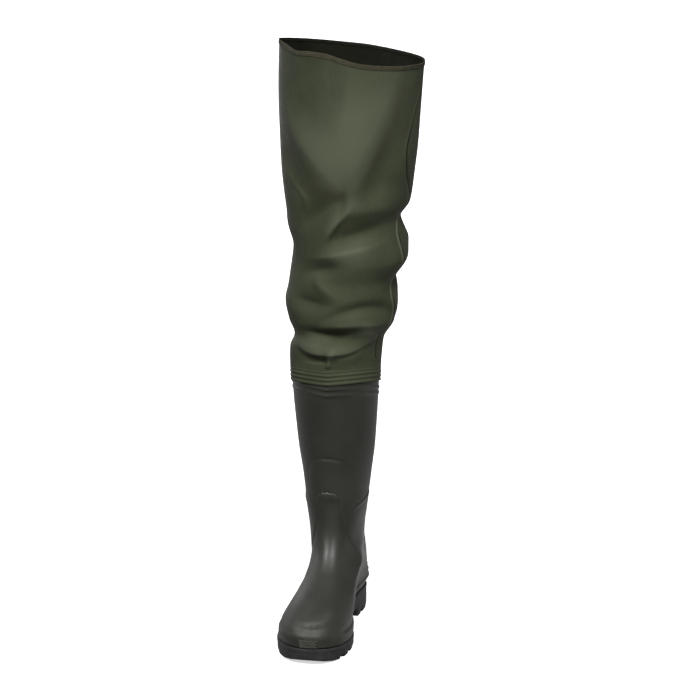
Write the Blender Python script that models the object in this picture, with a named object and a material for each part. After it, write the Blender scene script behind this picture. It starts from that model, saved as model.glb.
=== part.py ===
"""Thigh wader for the right foot: moulded boot, welded fabric leg, lapped seam and bound collar.

The toe points along -Y, the inner side of the leg is +X, the floor is Z = 0
and the heel stands centred over the origin. Sizes below are in millimetres.
"""
import math

import bmesh
import bpy
import numpy as np

MM = 0.001

# Foot
HEEL_BACK = 42.0
TOE_TIP = 254.0
BALL_WIDTH = 108.0
HEEL_WIDTH = 76.0
WAIST_WIDTH = 71.0
INSTEP_HEIGHT = 101.0
HEEL_HEIGHT = 36.0
BALL_THICKNESS = 17.0
TOE_SPRING = 8.0
TREAD_SPRING = 9.5
WAIST_CLEARANCE = 13.0
SOLE_LEDGE = 3.0
SOLE_CAP_BACK = 38.0
SOLE_CAP_FRONT = 92.0
GROOVE_OVERRUN = 8.0
# Where the heel, waist and ball lie, as shares of the length from the back
HEEL_SHARE = 0.15
WAIST_SHARE = 0.43
BALL_SHARE = 0.69
LEAN_SPAN = 0.45

# Boot wall
BODY_WALL = 2.6
RAND_STEP = 1.3
RAND_OUT = 1.6
WALL_RISE = 20.0
RAND_RISE = 13.0
HEEL_BUMPER = 4.0
BUMPER_ROW = 0.55
BUMPER_HALF_BELOW = 0.25
BUMPER_HALF_ABOVE = 1.4
BUMPER_END = 95.0
BUMPER_FADE = 35.0
RIB_HEIGHT = 1.2
RIB_VEE = 9.0
RIB_ROW_HEIGHT = 42.0
SEAT_GAP = 0.3

# Shaft and leg
SHAFT_RIM = 368.0
SHAFT_RIM_HALF_WIDTH = 62.8
CUFF_BOTTOM = 340.0
CUFF_GAP = 0.5
COLLAR_HEIGHT = 817.0
LEG_WALL = 1.0
BINDING_TAPE = 0.9
BINDING_DEPTH = 7.0
SEAM_WIDTH = 5.0
SEAM_THICKNESS = 0.8
LEG_RADIUS = 95.0
VEE_TOP = 412.0
VEE_FADE = 42.0
WAVE_START = 720.0
COLLAR_EDGE = 8.0
FOLD_START = 8.0
FOLD_FADE = 26.0
INSOLE_THICKNESS = 4.5
PANEL_THICKNESS = 0.9
PANEL_GAP = 0.6
PANEL_TOP_ROW = 10.5
PANEL_LOW_ROW = 6.1
PANEL_ARCH = 0.8
PANEL_SPREAD = 30.0
PANEL_WIDENING = 12.0

UPPER_COLUMNS = 36
LEG_COLUMNS = 34

HALF_BALL = BALL_WIDTH / 2 - SOLE_LEDGE
HALF_HEEL = HEEL_WIDTH / 2 - SOLE_LEDGE / 2
TOE_REACH = TOE_TIP - SOLE_LEDGE - 1.0


def smooth_curve(stations, values):
    """Cubic through the stations that never overshoots them."""
    xs = np.asarray(stations, float)
    ys = np.asarray(values, float)
    step = np.diff(xs)
    rise = np.diff(ys) / step
    slope = np.zeros_like(ys)
    slope[0] = rise[0]
    slope[-1] = rise[-1]
    for i in range(1, len(xs) - 1):
        if rise[i - 1] * rise[i] > 0:
            slope[i] = 2 * rise[i - 1] * rise[i] / (rise[i - 1] + rise[i])

    def curve(q):
        q = np.clip(q, xs[0], xs[-1])
        i = np.clip(np.searchsorted(xs, q, side="right") - 1, 0, len(xs) - 2)
        t = (q - xs[i]) / step[i]
        start = (1 + 2 * t) * (1 - t) ** 2 * ys[i] + t * (1 - t) ** 2 * step[i] * slope[i]
        end = t * t * (3 - 2 * t) * ys[i + 1] + t * t * (t - 1) * step[i] * slope[i + 1]
        return start + end

    return curve


def table_curves(names, rows, stations):
    """One smooth curve for each named column of a table."""
    columns = list(zip(*rows))
    return {name: smooth_curve(stations, column) for name, column in zip(names, columns)}


def ease(t):
    """Smooth step from 0 to 1."""
    t = np.clip(t, 0, 1)
    return t * t * (3 - 2 * t)


def round_end(distance, length):
    """Share of the full width left at a distance from a rounded end."""
    short = np.clip(1 - np.asarray(distance, float) / length, 0, 1)
    return np.sqrt(1 - short ** 2)


# Top of the sole, forward of the heel centre
sole_line = smooth_curve(
    (-HEEL_BACK, 25, 85, 160, 205, TOE_TIP),
    (HEEL_HEIGHT, HEEL_HEIGHT, HEEL_HEIGHT - 6.5, BALL_THICKNESS, BALL_THICKNESS + 1.5,
     BALL_THICKNESS + TOE_SPRING),
)
# Sideways curve of the foot along its length, towards the inner side
foot_swing = smooth_curve((0.0, HEEL_SHARE, WAIST_SHARE, BALL_SHARE, 1.0), (0.0, 0.0, -4.5, -0.5, 6.0))


def plan_half_width(share, length, cap_back, cap_front, heel, waist, ball):
    """Half width of a foot outline at a share of its length from the back."""
    to_waist = ease((share - HEEL_SHARE) / (WAIST_SHARE - HEEL_SHARE))
    to_ball = ease((share - WAIST_SHARE) / (BALL_SHARE - WAIST_SHARE))
    width = heel + (waist - heel) * to_waist + (ball - waist) * to_ball
    distance = share * length
    return width * round_end(distance, cap_back) * round_end(length - distance, cap_front)


# Sections of the boot from the sole up, each through a point at its back and one at its front:
# reach back, height there, reach forward, height there, rounding lengths, half widths,
# share of the foot's swing, lean of the instep and shift of the axis towards the inner side,
# and share of the sole line that the section follows
UPPER_NAMES = ("back", "back_z", "front", "front_z", "cap_back", "cap_front",
               "heel", "waist", "ball", "swing", "lean", "axis", "follow")
LOW_Z = HEEL_HEIGHT + SEAT_GAP
TOE_Z = BALL_THICKNESS + TOE_SPRING + SEAT_GAP
RIM_HALF = SHAFT_RIM_HALF_WIDTH
LOW_RIM = RIM_HALF - 2.2
UPPER_ROWS = (
    (39.0, LOW_Z, TOE_REACH, TOE_Z, 34, 88, HALF_HEEL, 33.0, HALF_BALL, 1.0, 0.0, 0.0, 1.0),
    (40.0, LOW_Z + WALL_RISE, TOE_REACH - 1, TOE_Z + WALL_RISE, 34, 86, HALF_HEEL + 1, 35.0, HALF_BALL - 1,
     1.0, 0.0, 0.0, 1.0),
    (41.5, 62, TOE_REACH - 9, 60, 35, 84, 37.8, 35.0, 44.5, 1.0, 1.8, 0.0, 0.8),
    (42.0, 71, TOE_REACH - 28, 69, 36, 80, 37.6, 33.4, 38.4, 1.0, 3.6, 0.0, 0.55),
    (41.5, 80, TOE_REACH - 58, 77, 36, 82, 37.0, 32.4, 34.2, 1.0, 4.8, 0.0, 0.35),
    (40.0, 90, TOE_REACH - 90, 87, 37, 90, 36.5, 32.6, 33.2, 0.85, 5.0, 0.0, 0.2),
    (38.0, 102, TOE_REACH - 122, INSTEP_HEIGHT, 39, 92, 36.2, 34.2, 34.0, 0.65, 4.2, 0.0, 0.1),
    (35.0, 118, TOE_REACH - 147, INSTEP_HEIGHT + 20, 42, 82, 37.0, 37.0, 36.5, 0.4, 2.6, 0.0, 0.0),
    (32.5, 140, TOE_REACH - 163, INSTEP_HEIGHT + 46, 50, 66, 40.0, 40.6, 40.0, 0.15, 1.0, 0.6, 0.0),
    (33.0, 168, TOE_REACH - 170, INSTEP_HEIGHT + 77, 58, 59, 44.8, 44.8, 44.8, 0.0, 0.0, 0.9, 0.0),
    (38.5, 206, TOE_REACH - 172, INSTEP_HEIGHT + 118, 60.3, 60.3, 50.2, 50.2, 50.2, 0.0, 0.0, 0.3, 0.0),
    (46.0, 250, TOE_REACH - 170, INSTEP_HEIGHT + 166, 65, 65, 55.2, 55.2, 55.2, 0.0, 0.0, -1.0, 0.0),
    (52.5, 311, TOE_REACH - 166, INSTEP_HEIGHT + 239, 70.3, 70.3, LOW_RIM, LOW_RIM, LOW_RIM,
     0.0, 0.0, -2.6, 0.0),
    (56.0, SHAFT_RIM - 16, TOE_REACH - 164, SHAFT_RIM + 16, 73, 73, RIM_HALF, RIM_HALF, RIM_HALF,
     0.0, 0.0, -3.2, 0.0),
)
upper_at = table_curves(UPPER_NAMES, UPPER_ROWS, range(len(UPPER_ROWS)))
RAND_ROW = RAND_RISE / WALL_RISE
RIM_ROW = len(UPPER_ROWS) - 1.0
SHAFT_RIBS = (12.0, 12.18)


# Swell of the inner side between the ankle and the ball, by table row
inner_swell = smooth_curve((0, 1, 2, 3, 4, 5, 6, 7, 8), (0.0, 2.5, 8.0, 11.0, 12.5, 12.5, 8.0, 3.5, 0.0))
SWELL_SHARE = 0.5
SWELL_SPREAD = 0.24


def upper_base(row, turn):
    """Point of the boot's outer form: table row, and turn from the back through the outer side."""
    row, turn = np.broadcast_arrays(np.asarray(row, float), np.asarray(turn, float))
    v = {name: curve(row) for name, curve in upper_at.items()}
    length = v["front"] + v["back"]
    share = (1 - np.cos(turn)) / 2
    forward = share * length - v["back"]
    half = plan_half_width(share, length, v["cap_back"], v["cap_front"], v["heel"], v["waist"], v["ball"])
    over = ease((share - HEEL_SHARE) / LEAN_SPAN)
    centre = v["axis"] + v["swing"] * foot_swing(share) + v["lean"] * over
    swell = inner_swell(row) / v["waist"] * np.exp(-((share - SWELL_SHARE) / SWELL_SPREAD) ** 2)
    outer_side = np.sin(turn) > 0
    x = centre - half * np.sign(np.sin(turn)) * np.where(outer_side, 1.0, 1.0 + swell)
    chord = sole_line(-v["back"]) * (1 - share) + sole_line(v["front"]) * share
    z = v["back_z"] * (1 - share) + v["front_z"] * share + v["follow"] * (sole_line(forward) - chord)
    return np.stack([x, -forward, z], axis=-1)


def surface_normals(function, u, v, du, dv):
    """Outward unit normals of a surface whose v runs anticlockwise seen from above."""
    along_u = function(u + du, v) - function(u - du, v)
    along_v = function(u, v + dv) - function(u, v - dv)
    normal = np.cross(along_v, along_u)
    return normal / np.linalg.norm(normal, axis=-1, keepdims=True)


def turn_from_back(turn):
    """Turn between -pi and pi, nought at the back."""
    return (np.asarray(turn) + math.pi) % (2 * math.pi) - math.pi


def around_heel(turn):
    """Share of the heel's own form: one at the back, none from the waist forward."""
    return ease((BUMPER_END - np.abs(np.degrees(turn_from_back(turn)))) / BUMPER_FADE)


def heel_bumper(row, turn):
    """Swelling of the wall around the back of the heel."""
    half = np.where(row < BUMPER_ROW, BUMPER_HALF_BELOW, BUMPER_HALF_ABOVE)
    return HEEL_BUMPER * np.exp(-((row - BUMPER_ROW) / half) ** 2) * around_heel(turn)


def upper_point(row, turn, offset):
    """Point of the boot at a distance outside its outer form."""
    row, turn = np.broadcast_arrays(np.asarray(row, float), np.asarray(turn, float))
    inner_row = np.clip(row, 0.02, RIM_ROW - 0.02)
    normal = surface_normals(upper_base, inner_row, turn, 0.02, 0.02)
    edge = np.logical_or(row < 0.01, row > RIM_ROW - 0.01)
    flat = normal * np.where(edge[..., None], np.array([1.0, 1.0, 0.0]), 1.0)
    flat = flat / np.linalg.norm(flat, axis=-1, keepdims=True)
    return upper_base(row, turn) + flat * np.asarray(offset)[..., None]


# Leg sections by height: half width, half depth, centre towards the inner side, centre forward,
# rise towards the front and rise towards the inner side
LEG_NAMES = ("half_width", "half_depth", "inward", "forward", "front_rise", "inner_rise")
CUFF_HALF = CUFF_GAP + LEG_WALL


def cuff_section(height):
    """Leg section that lies just outside the shaft at a height near its rim."""
    rows = np.linspace(RIM_ROW - 2, RIM_ROW, 201)
    middle = (upper_at["back_z"](rows) + upper_at["front_z"](rows)) / 2
    v = {name: float(curve(np.interp(height, middle, rows))) for name, curve in upper_at.items()}
    half_depth = (v["front"] + v["back"]) / 2
    rise = (v["front_z"] - v["back_z"]) / (2 * half_depth)
    return (v["ball"] + CUFF_HALF, half_depth + CUFF_HALF, v["axis"], (v["front"] - v["back"]) / 2, rise, 0.0)


CUFF_MIDDLE = (CUFF_BOTTOM + SHAFT_RIM) / 2
LEG_HEIGHTS = (CUFF_BOTTOM, CUFF_MIDDLE, SHAFT_RIM, 396, 412, 437, 460, 496, 532, 585, 612, 650, 700, 760,
               COLLAR_HEIGHT)
LEG_ROWS = (
    cuff_section(CUFF_BOTTOM),
    cuff_section(CUFF_MIDDLE),
    cuff_section(SHAFT_RIM),
    (65.0, 75.5, -1.5, 17.0, 0.19, 0.0),
    (63.0, 74.5, 2.5, 17.0, 0.15, 0.0),
    (74.5, 82.0, 6.5, 17.0, 0.1, 0.0),
    (78.5, 86.0, 7.0, 17.0, 0.06, 0.0),
    (76.5, 85.0, 9.0, 16.0, 0.03, 0.0),
    (82.0, 88.0, 18.0, 15.0, 0.0, 0.0),
    (82.5, 91.0, 12.0, 15.0, 0.0, -0.02),
    (88.0, 94.0, 14.5, 15.0, 0.0, -0.04),
    (92.5, 97.0, 15.0, 15.0, 0.0, -0.07),
    (96.0, 99.0, 17.0, 15.0, 0.03, -0.09),
    (97.5, 100.0, 19.5, 15.0, 0.05, -0.115),
    (98.5, 100.0, 22.5, 15.0, 0.075, -0.135),
)
leg_at = table_curves(LEG_NAMES, LEG_ROWS, LEG_HEIGHTS)

# Folds of the leg: turn from the front towards the inner side, height, half spread around,
# half spread in height, depth outwards, climb in millimetres for each degree of turn
FOLDS = (
    (27, 710, 24, 58, 5.0, 4.1),
    (-19, 680, 26, 36, 5.0, -1.55),
    (38, 660, 16, 60, -5.0, 4.6),
    (-46, 660, 24, 34, -4.5, -1.8),
    (29, 612, 29, 13, 5.0, 0.2),
    (-12, 608, 22, 15, -6.0, 1.1),
    (20, 576, 32, 12, -8.5, 0.4),
    (12, 547, 36, 17, 7.0, 0.32),
    (-16, 524, 18, 14, -6.5, 0.4),
    (-22, 471, 22, 16, -7.5, -0.1),
    (38, 466, 40, 11, -9.0, 0.05),
    (24, 446, 40, 10, 5.5, 0.05),
    (-3, 420, 31, 9, -10.0, 0.08),
    (3, 392, 36, 12, 8.0, 0.05),
    (95, 590, 26, 13, -6.0, -0.3),
    (95, 500, 30, 13, -6.0, 0.4),
    (-95, 545, 34, 15, -6.0, 0.3),
    (-85, 470, 34, 14, 2.0, 0.0),
    (180, 588, 50, 14, -9.0, 0.1),
    (170, 556, 50, 13, 6.0, 0.0),
    (185, 522, 48, 13, -10.0, -0.1),
    (175, 486, 52, 13, 6.0, 0.0),
    (180, 450, 52, 13, -9.0, 0.1),
    (150, 422, 40, 11, 4.0, 0.0),
    (-140, 500, 26, 13, -6.0, 0.3),
    (135, 545, 24, 13, 5.0, -0.3),
    (-94, 800, 17, 120, 8.0, 0.0),
)


def fold_depth(height, turn):
    """Depth of all the folds at a height and a turn in degrees from the front."""
    depth = np.zeros(np.broadcast(height, turn).shape)
    for at, level, around, tall, amount, climb in FOLDS:
        away = (turn - at + 180) % 360 - 180
        lift = (height - level - climb * away) / tall
        depth = depth + amount * np.exp(-(away / around) ** 2 - lift ** 2)
    return depth


def leg_base(height, turn):
    """Point of the leg's outer form at a row height and a turn in radians from the front."""
    height, turn = np.broadcast_arrays(np.asarray(height, float), np.asarray(turn, float))
    v = {name: curve(height) for name, curve in leg_at.items()}
    across = np.sin(turn)
    ahead = np.cos(turn)
    normal = np.stack([across / v["half_width"], ahead / v["half_depth"]], axis=-1)
    normal = normal / np.linalg.norm(normal, axis=-1, keepdims=True)
    fade = np.clip((height - SHAFT_RIM - FOLD_START) / FOLD_FADE, 0, 1)
    depth = fold_depth(height, np.degrees(turn)) * fade
    x = v["half_width"] * across + normal[..., 0] * depth
    forward = v["half_depth"] * ahead + normal[..., 1] * depth
    z = height + v["front_rise"] * forward + v["inner_rise"] * x
    return np.stack([x + v["inward"], -(forward + v["forward"]), z], axis=-1)


def leg_point(height, turn, offset):
    """Point of the leg at a distance outside its outer form."""
    height, turn = np.broadcast_arrays(np.asarray(height, float), np.asarray(turn, float))
    inside = np.maximum(height, CUFF_BOTTOM + 1)
    normal = surface_normals(leg_base, inside, turn, 0.8, 0.02)
    edge = np.logical_or(height < SHAFT_RIM + 1, height > COLLAR_HEIGHT - COLLAR_EDGE)
    flat = normal * np.where(edge[..., None], np.array([1.0, 1.0, 0.0]), 1.0)
    flat = flat / np.linalg.norm(flat, axis=-1, keepdims=True)
    return leg_base(height, turn) + flat * np.asarray(offset)[..., None]


# Turn of the seam's line by height, carried to and fro by the folds, in degrees
seam_turn = smooth_curve(
    (368, 386, 403, 416, 433, 450, 464, 480, 495, 511, 530, 545, 560, 573, 584, 600, 620, 637, 656, 681, 707,
     726, 743, 760, 790, COLLAR_HEIGHT),
    (78, 73, 68, 66, 78, 86, 80, 73, 78, 80, 73, 72, 70, 68, 72, 82, 86, 77, 68, 62, 62,
     67, 72.5, 80, 87, 90),
)
# Waves of the collar's edge by turn in degrees
rim_wave = smooth_curve(
    (-180, -150, -120, -60, -40, -25, -10, 0, 20, 30, 50, 70, 90, 110, 150, 180),
    (2.5, 0.5, 0.0, 0.0, -4.5, -1.5, -0.5, -3.0, -6.5, -6.0, -4.0, -1.5, 0.0, 3.0, 2.5, 2.5),
)


def leg_ring(height, past_seam, offset):
    """Ring of the leg by turn past the seam: low rings rise to the sides, high ones follow the collar."""
    turns = past_seam + np.radians(seam_turn(height))
    low = RIB_VEE * np.abs(np.sin(turns)) * np.clip((VEE_TOP - height) / VEE_FADE, 0, 1)
    degrees = (np.degrees(turns) + 180) % 360 - 180
    high = rim_wave(degrees) * ease((height - WAVE_START) / (COLLAR_HEIGHT - WAVE_START))
    return leg_point(height + low + high, turns, np.full(len(turns), offset))


def make_material(name, colour, roughness):
    material = bpy.data.materials.new(name)
    material.use_nodes = True
    shader = material.node_tree.nodes["Principled BSDF"]
    shader.inputs["Base Color"].default_value = (*colour, 1.0)
    shader.inputs["Roughness"].default_value = roughness
    return material


def make_object(name, points, faces, material):
    """Closed mesh object from points in millimetres."""
    mesh = bpy.data.meshes.new(name)
    mesh.from_pydata([tuple(p * MM) for p in np.asarray(points, float)], [], faces)
    bm = bmesh.new()
    bm.from_mesh(mesh)
    bmesh.ops.recalc_face_normals(bm, faces=bm.faces)
    bm.to_mesh(mesh)
    bm.free()
    mesh.materials.append(material)
    mesh.set_sharp_from_angle(angle=math.radians(35))
    part = bpy.data.objects.new(name, mesh)
    bpy.context.collection.objects.link(part)
    return part


def ring_faces(first, second, count):
    return [(first + k, first + (k + 1) % count, second + (k + 1) % count, second + k) for k in range(count)]


def split_alike(faces, leaning):
    """Triangles of four-sided faces, all split along the same lean."""
    if leaning:
        return [half for a, b, c, d in faces for half in ((a, b, d), (b, c, d))]
    return [half for a, b, c, d in faces for half in ((a, b, c), (a, c, d))]


def make_shell(name, outer, inner, material, thin=False):
    """Hollow body between two stacks of rings, open at both ends.

    In a thin wall the facets of both sides are split alike, but for the top band.
    """
    count = outer.shape[1]
    points = np.concatenate([outer.reshape(-1, 3), inner.reshape(-1, 3)])
    start = outer.shape[0] * count
    faces = []
    for i in range(outer.shape[0] - 1):
        band = ring_faces(i * count, (i + 1) * count, count)
        faces += split_alike(band, False) if thin and i < outer.shape[0] - 2 else band
    for i in range(inner.shape[0] - 1):
        band = ring_faces(start + (i + 1) * count, start + i * count, count)
        faces += split_alike(band, True) if thin and i < inner.shape[0] - 2 else band
    faces += ring_faces(start, 0, count)
    faces += ring_faces((outer.shape[0] - 1) * count, start + (inner.shape[0] - 1) * count, count)
    return make_object(name, points, faces, material)


def make_slab(name, front, back, material):
    """Thin body between two matching grids of points."""
    rows, columns = front.shape[:2]
    points = np.concatenate([front.reshape(-1, 3), back.reshape(-1, 3)])
    start = rows * columns
    faces = []
    for i in range(rows - 1):
        for j in range(columns - 1):
            a = i * columns + j
            faces.append((a, a + 1, a + columns + 1, a + columns))
            faces.append((start + a, start + a + columns, start + a + columns + 1, start + a + 1))
    border = [j for j in range(columns)]
    border += [i * columns + columns - 1 for i in range(1, rows)]
    border += [(rows - 1) * columns + j for j in range(columns - 2, -1, -1)]
    border += [i * columns for i in range(rows - 2, 0, -1)]
    for a, b in zip(border, border[1:] + border[:1]):
        faces.append((a, start + a, start + b, b))
    return make_object(name, points, faces, material)


def make_plate(name, stations, levels, material):
    """Body with a foot outline: each level gives the side points and height at every station."""
    rings = []
    for half, centre, z in levels:
        outer = np.stack([centre - half, -stations, z], axis=-1)
        inner = np.stack([centre + half, -stations, z], axis=-1)
        rings.append(np.concatenate([outer, inner[-2:0:-1]]))
    count = len(rings[0])
    last = len(stations) - 1
    faces = []
    for i in range(len(rings) - 1):
        faces += ring_faces(i * count, (i + 1) * count, count)
    for base in (0, (len(rings) - 1) * count):
        for i in range(last):
            loop = [base + i, base + i + 1, base + (count - i - 1) % count, base + (count - i) % count]
            faces.append(tuple(dict.fromkeys(loop)))
    return make_object(name, np.concatenate(rings), faces, material)


def make_boxes(name, boxes):
    """Grooves to be cut: centre, length, width, depth and turn of each."""
    points = []
    faces = []
    for cx, forward, length, width, depth, turn in boxes:
        c = math.cos(math.radians(turn))
        s = math.sin(math.radians(turn))
        start = len(points)
        for z in (-5.0, depth):
            for a, b in ((-1, -1), (1, -1), (1, 1), (-1, 1)):
                u = a * length / 2
                w = b * width / 2
                points.append((cx + u * c - w * s, -(forward + u * s + w * c), z))
        for quad in ((0, 1, 2, 3), (4, 7, 6, 5), (0, 4, 5, 1), (1, 5, 6, 2), (2, 6, 7, 3), (3, 7, 4, 0)):
            faces.append(tuple(start + q for q in quad))
    cutter = make_object(name, points, faces, bpy.data.materials["outsole_black"])
    cutter.hide_render = True
    cutter.display_type = "WIRE"
    return cutter


for old in list(bpy.data.objects):
    bpy.data.objects.remove(old)

sole_black = make_material("outsole_black", (0.028, 0.028, 0.028), 0.6)
boot_green = make_material("boot_green", (0.045, 0.047, 0.038), 0.45)
leg_green = make_material("leg_green", (0.058, 0.066, 0.04), 0.55)
tape_olive = make_material("tape_olive", (0.055, 0.053, 0.035), 0.7)
felt_grey = make_material("insole_grey", (0.12, 0.12, 0.11), 0.9)

# Outsole: plan outline, arched waist, heel breast and toe spring
SOLE_STATIONS = np.array([-42, -41.2, -39, -34.5, -27, -16, -2, 14, 28, 39, 42, 56, 70, 85, 99, 112, 126,
                          140, 155, 170, 185, 200, 212, 223, 233, 241, 247, 251, 253.2, TOE_TIP], float)
SOLE_SPAN = HEEL_BACK + TOE_TIP
sole_share = (SOLE_STATIONS + HEEL_BACK) / SOLE_SPAN


def sole_half_width(share):
    return plan_half_width(share, SOLE_SPAN, SOLE_CAP_BACK, SOLE_CAP_FRONT, HEEL_WIDTH / 2, WAIST_WIDTH / 2,
                           BALL_WIDTH / 2)


sole_half = sole_half_width(sole_share)
sole_centre = foot_swing(sole_share)
tread_line = np.interp(SOLE_STATIONS, (39, 42, 98, 112, 200, 215, 230, 243, TOE_TIP),
                       (0.0, WAIST_CLEARANCE, WAIST_CLEARANCE - 2, 0.0, 0.0, 0.7, 2.6, 5.6, TREAD_SPRING))
top_line = sole_line(SOLE_STATIONS)
sole_levels = (
    (np.maximum(sole_half - 1.6, 0), sole_centre, tread_line),
    (sole_half, sole_centre, tread_line + 5.0),
    (sole_half, sole_centre, top_line - 3.0),
    (np.maximum(sole_half - 1.8, 0), sole_centre, top_line),
)
outsole = make_plate("outsole", SOLE_STATIONS, sole_levels, sole_black)

# Lug grooves: side, distance forward, length, width, depth and turn,
# then the short ones in the middle of the forefoot
INNER = 1.0
OUTER = -1.0
SIDE_GROOVES = (
    (INNER, 211, 30, 13.0, 6.0, -8),
    (INNER, 185.5, 32, 13.0, 5.0, 4),
    (INNER, 160, 32, 13.0, 5.0, 12),
    (INNER, 134, 32, 13.0, 5.0, 14),
    (OUTER, 201, 32, 13.0, 5.0, 6),
    (OUTER, 175, 32, 13.0, 5.0, -6),
    (OUTER, 149, 32, 13.0, 5.0, -12),
    (OUTER, 124, 30, 13.0, 5.0, -14),
    (INNER, 20, 22, 11.0, 6.0, 6),
    (INNER, -9, 22, 11.0, 6.0, 10),
    (OUTER, 20, 22, 11.0, 6.0, -6),
    (OUTER, -9, 22, 11.0, 6.0, -10),
)
grooves = []
for side, forward, length, width, depth, turn in SIDE_GROOVES:
    share = (forward + HEEL_BACK) / SOLE_SPAN
    reach = float(sole_half_width(np.array(share))) - length / 2 + GROOVE_OVERRUN
    grooves.append((float(foot_swing(share)) + side * reach, forward, length, width, depth, turn))
for forward in (135, 161, 187):
    grooves.append((-1.0, forward, 34.0, 6.0, 5.0, 0.0))
lug_cutter = make_boxes("lug_grooves", grooves)
cut = outsole.modifiers.new("lug_grooves", "BOOLEAN")
cut.operation = "DIFFERENCE"
cut.solver = "EXACT"
cut.object = lug_cutter

# Boot: outer rings with the rand step and the shaft ribs, inner rings one wall further in
turns = np.arange(UPPER_COLUMNS) * 2 * math.pi / UPPER_COLUMNS
outer_rows = [(0.0, 0.0), (0.08, RAND_OUT), (RAND_ROW - 0.05, RAND_OUT), (RAND_ROW + 0.12, -RAND_STEP)]
BODY_ROWS = (1.0, 1.3, 1.55, 1.8, 2.1, 2.5, 3.0, 3.5, 4.0, 4.5, 5.0, 5.5, 6.0, 6.5, 7.0, 7.5, 8.0, 8.6,
             9.3, 10.0, 11.0)
outer_rows += [(row, -RAND_STEP) for row in BODY_ROWS]
for rib in SHAFT_RIBS:
    outer_rows += [(rib - 0.07, 0.0), (rib - 0.02, RIB_HEIGHT), (rib + 0.03, RIB_HEIGHT)]
outer_rows += [(12.3, 0.0), (RIM_ROW, 0.0)]
rib_lift = RIB_VEE / RIB_ROW_HEIGHT * np.abs(np.sin(turns))
body_inset = smooth_curve((10.0, 11.0), (0.0, 1.0))
outer_rings = []
for row, offset in outer_rows:
    if row < RAND_ROW:
        offset = offset * (1 - around_heel(turns))
    elif row < 11.5:
        offset = offset * (1 - float(body_inset(row)))
    elif row < RIM_ROW:
        row = row + rib_lift
    outer_rings.append(upper_point(row, turns, offset + heel_bumper(row, turns)))
inner_rows = (0.0, 0.5, 1.0, 1.5, 2.0, 2.5, 3.0, 3.6, 4.2, 4.8, 5.4, 6.0, 6.6, 7.3, 8.0, 9.0, 10.0, 11.5,
              RIM_ROW)
inner_rings = []
for row in inner_rows:
    inset = RAND_STEP * (1 - float(body_inset(row)))
    inner_rings.append(upper_point(row, turns, np.full(UPPER_COLUMNS, -BODY_WALL - inset)))
make_shell("boot_upper", np.array(outer_rings), np.array(inner_rings), boot_green)

# Insole: inside the wall, on the sole
INSOLE_INSET = BODY_WALL + RAND_STEP + 1.1
insole_back = UPPER_ROWS[0][0] - INSOLE_INSET
insole_front = TOE_REACH - INSOLE_INSET
insole_stations = -insole_back + (insole_front + insole_back) * (1 - np.cos(np.linspace(0, math.pi, 19))) / 2
insole_share = (insole_stations + UPPER_ROWS[0][0]) / (TOE_REACH + UPPER_ROWS[0][0])
own_share = (insole_stations + insole_back) / (insole_front + insole_back)
insole_half = plan_half_width(own_share, insole_front + insole_back, 32, 82, HALF_HEEL - INSOLE_INSET,
                              33.0 - INSOLE_INSET, HALF_BALL - INSOLE_INSET)
insole_centre = foot_swing(insole_share)
insole_floor = sole_line(insole_stations) + SEAT_GAP
insole_levels = (
    (insole_half, insole_centre, insole_floor),
    (insole_half, insole_centre, insole_floor + INSOLE_THICKNESS),
)
make_plate("insole", insole_stations, insole_levels, felt_grey)

# Shin guard: arched panel over the shin and instep, from the boot's own form
across = np.linspace(-1, 1, 11)
down = np.linspace(0, 1, 11)
arch_top = PANEL_TOP_ROW - PANEL_ARCH * (1 - np.sqrt(1 - (0.96 * across) ** 2))
guard_rows = arch_top[None, :] * (1 - down[:, None]) + PANEL_LOW_ROW * down[:, None]
guard_turn = math.pi - np.radians(across[None, :] * (PANEL_SPREAD + PANEL_WIDENING * down[:, None]))
body_level = -RAND_STEP * (1 - body_inset(guard_rows))
guard_outer = upper_point(guard_rows, guard_turn, body_level + PANEL_GAP + PANEL_THICKNESS)
guard_inner = upper_point(guard_rows, guard_turn, body_level + PANEL_GAP)
make_slab("shin_guard", guard_outer, guard_inner, boot_green)

# Leg: ribbed cuff over the shaft, folds at the knee, plain thigh
seam_half = math.degrees(SEAM_WIDTH / 2 / LEG_RADIUS)
leg_degrees = np.arange(LEG_COLUMNS) * 360.0 / (LEG_COLUMNS - 1)
leg_degrees[0] = seam_half
leg_degrees[-1] = 360.0 - seam_half
leg_turns = np.radians(leg_degrees)
CUFF_RINGS = ((340.0, 0.0), (341.5, 1), (344.5, 0), (347.5, 1), (350.5, 0), (353.5, 1),
              (356.5, 0), (359.5, 1), (362.5, 0), (365.5, 1), (368.5, 0))
LEG_RINGS = (378, 388, 397, 406, 415, 424, 433, 443, 454, 465, 477, 489, 501, 513, 525, 538, 551, 564, 577,
             590, 604, 622, 642, 664, 690, 718, 750, 784, COLLAR_HEIGHT)
leg_outer = [leg_ring(z, leg_turns, rib * RIB_HEIGHT) for z, rib in CUFF_RINGS]
leg_outer += [leg_ring(z, leg_turns, 0.0) for z in LEG_RINGS]
CUFF_INNER = (CUFF_RINGS[0][0], CUFF_RINGS[5][0] + 1.0, CUFF_RINGS[-1][0])
leg_inner = [leg_ring(z, leg_turns, -LEG_WALL) for z in CUFF_INNER + LEG_RINGS]
make_shell("thigh_leg", np.array(leg_outer), np.array(leg_inner), leg_green, thin=True)

# Seam: strip over the two seam columns of the leg
seam_turns = np.radians(np.array([-seam_half, seam_half]))
seam_rings = [z for z in LEG_RINGS if z < COLLAR_HEIGHT] + [COLLAR_HEIGHT - BINDING_DEPTH - 3.0]
seam_low = [leg_ring(z, seam_turns, SEAT_GAP) for z in seam_rings]
seam_high = [leg_ring(z, seam_turns, SEAT_GAP + SEAM_THICKNESS) for z in seam_rings]
make_slab("leg_seam", np.array(seam_high), np.array(seam_low), leg_green)

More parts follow.
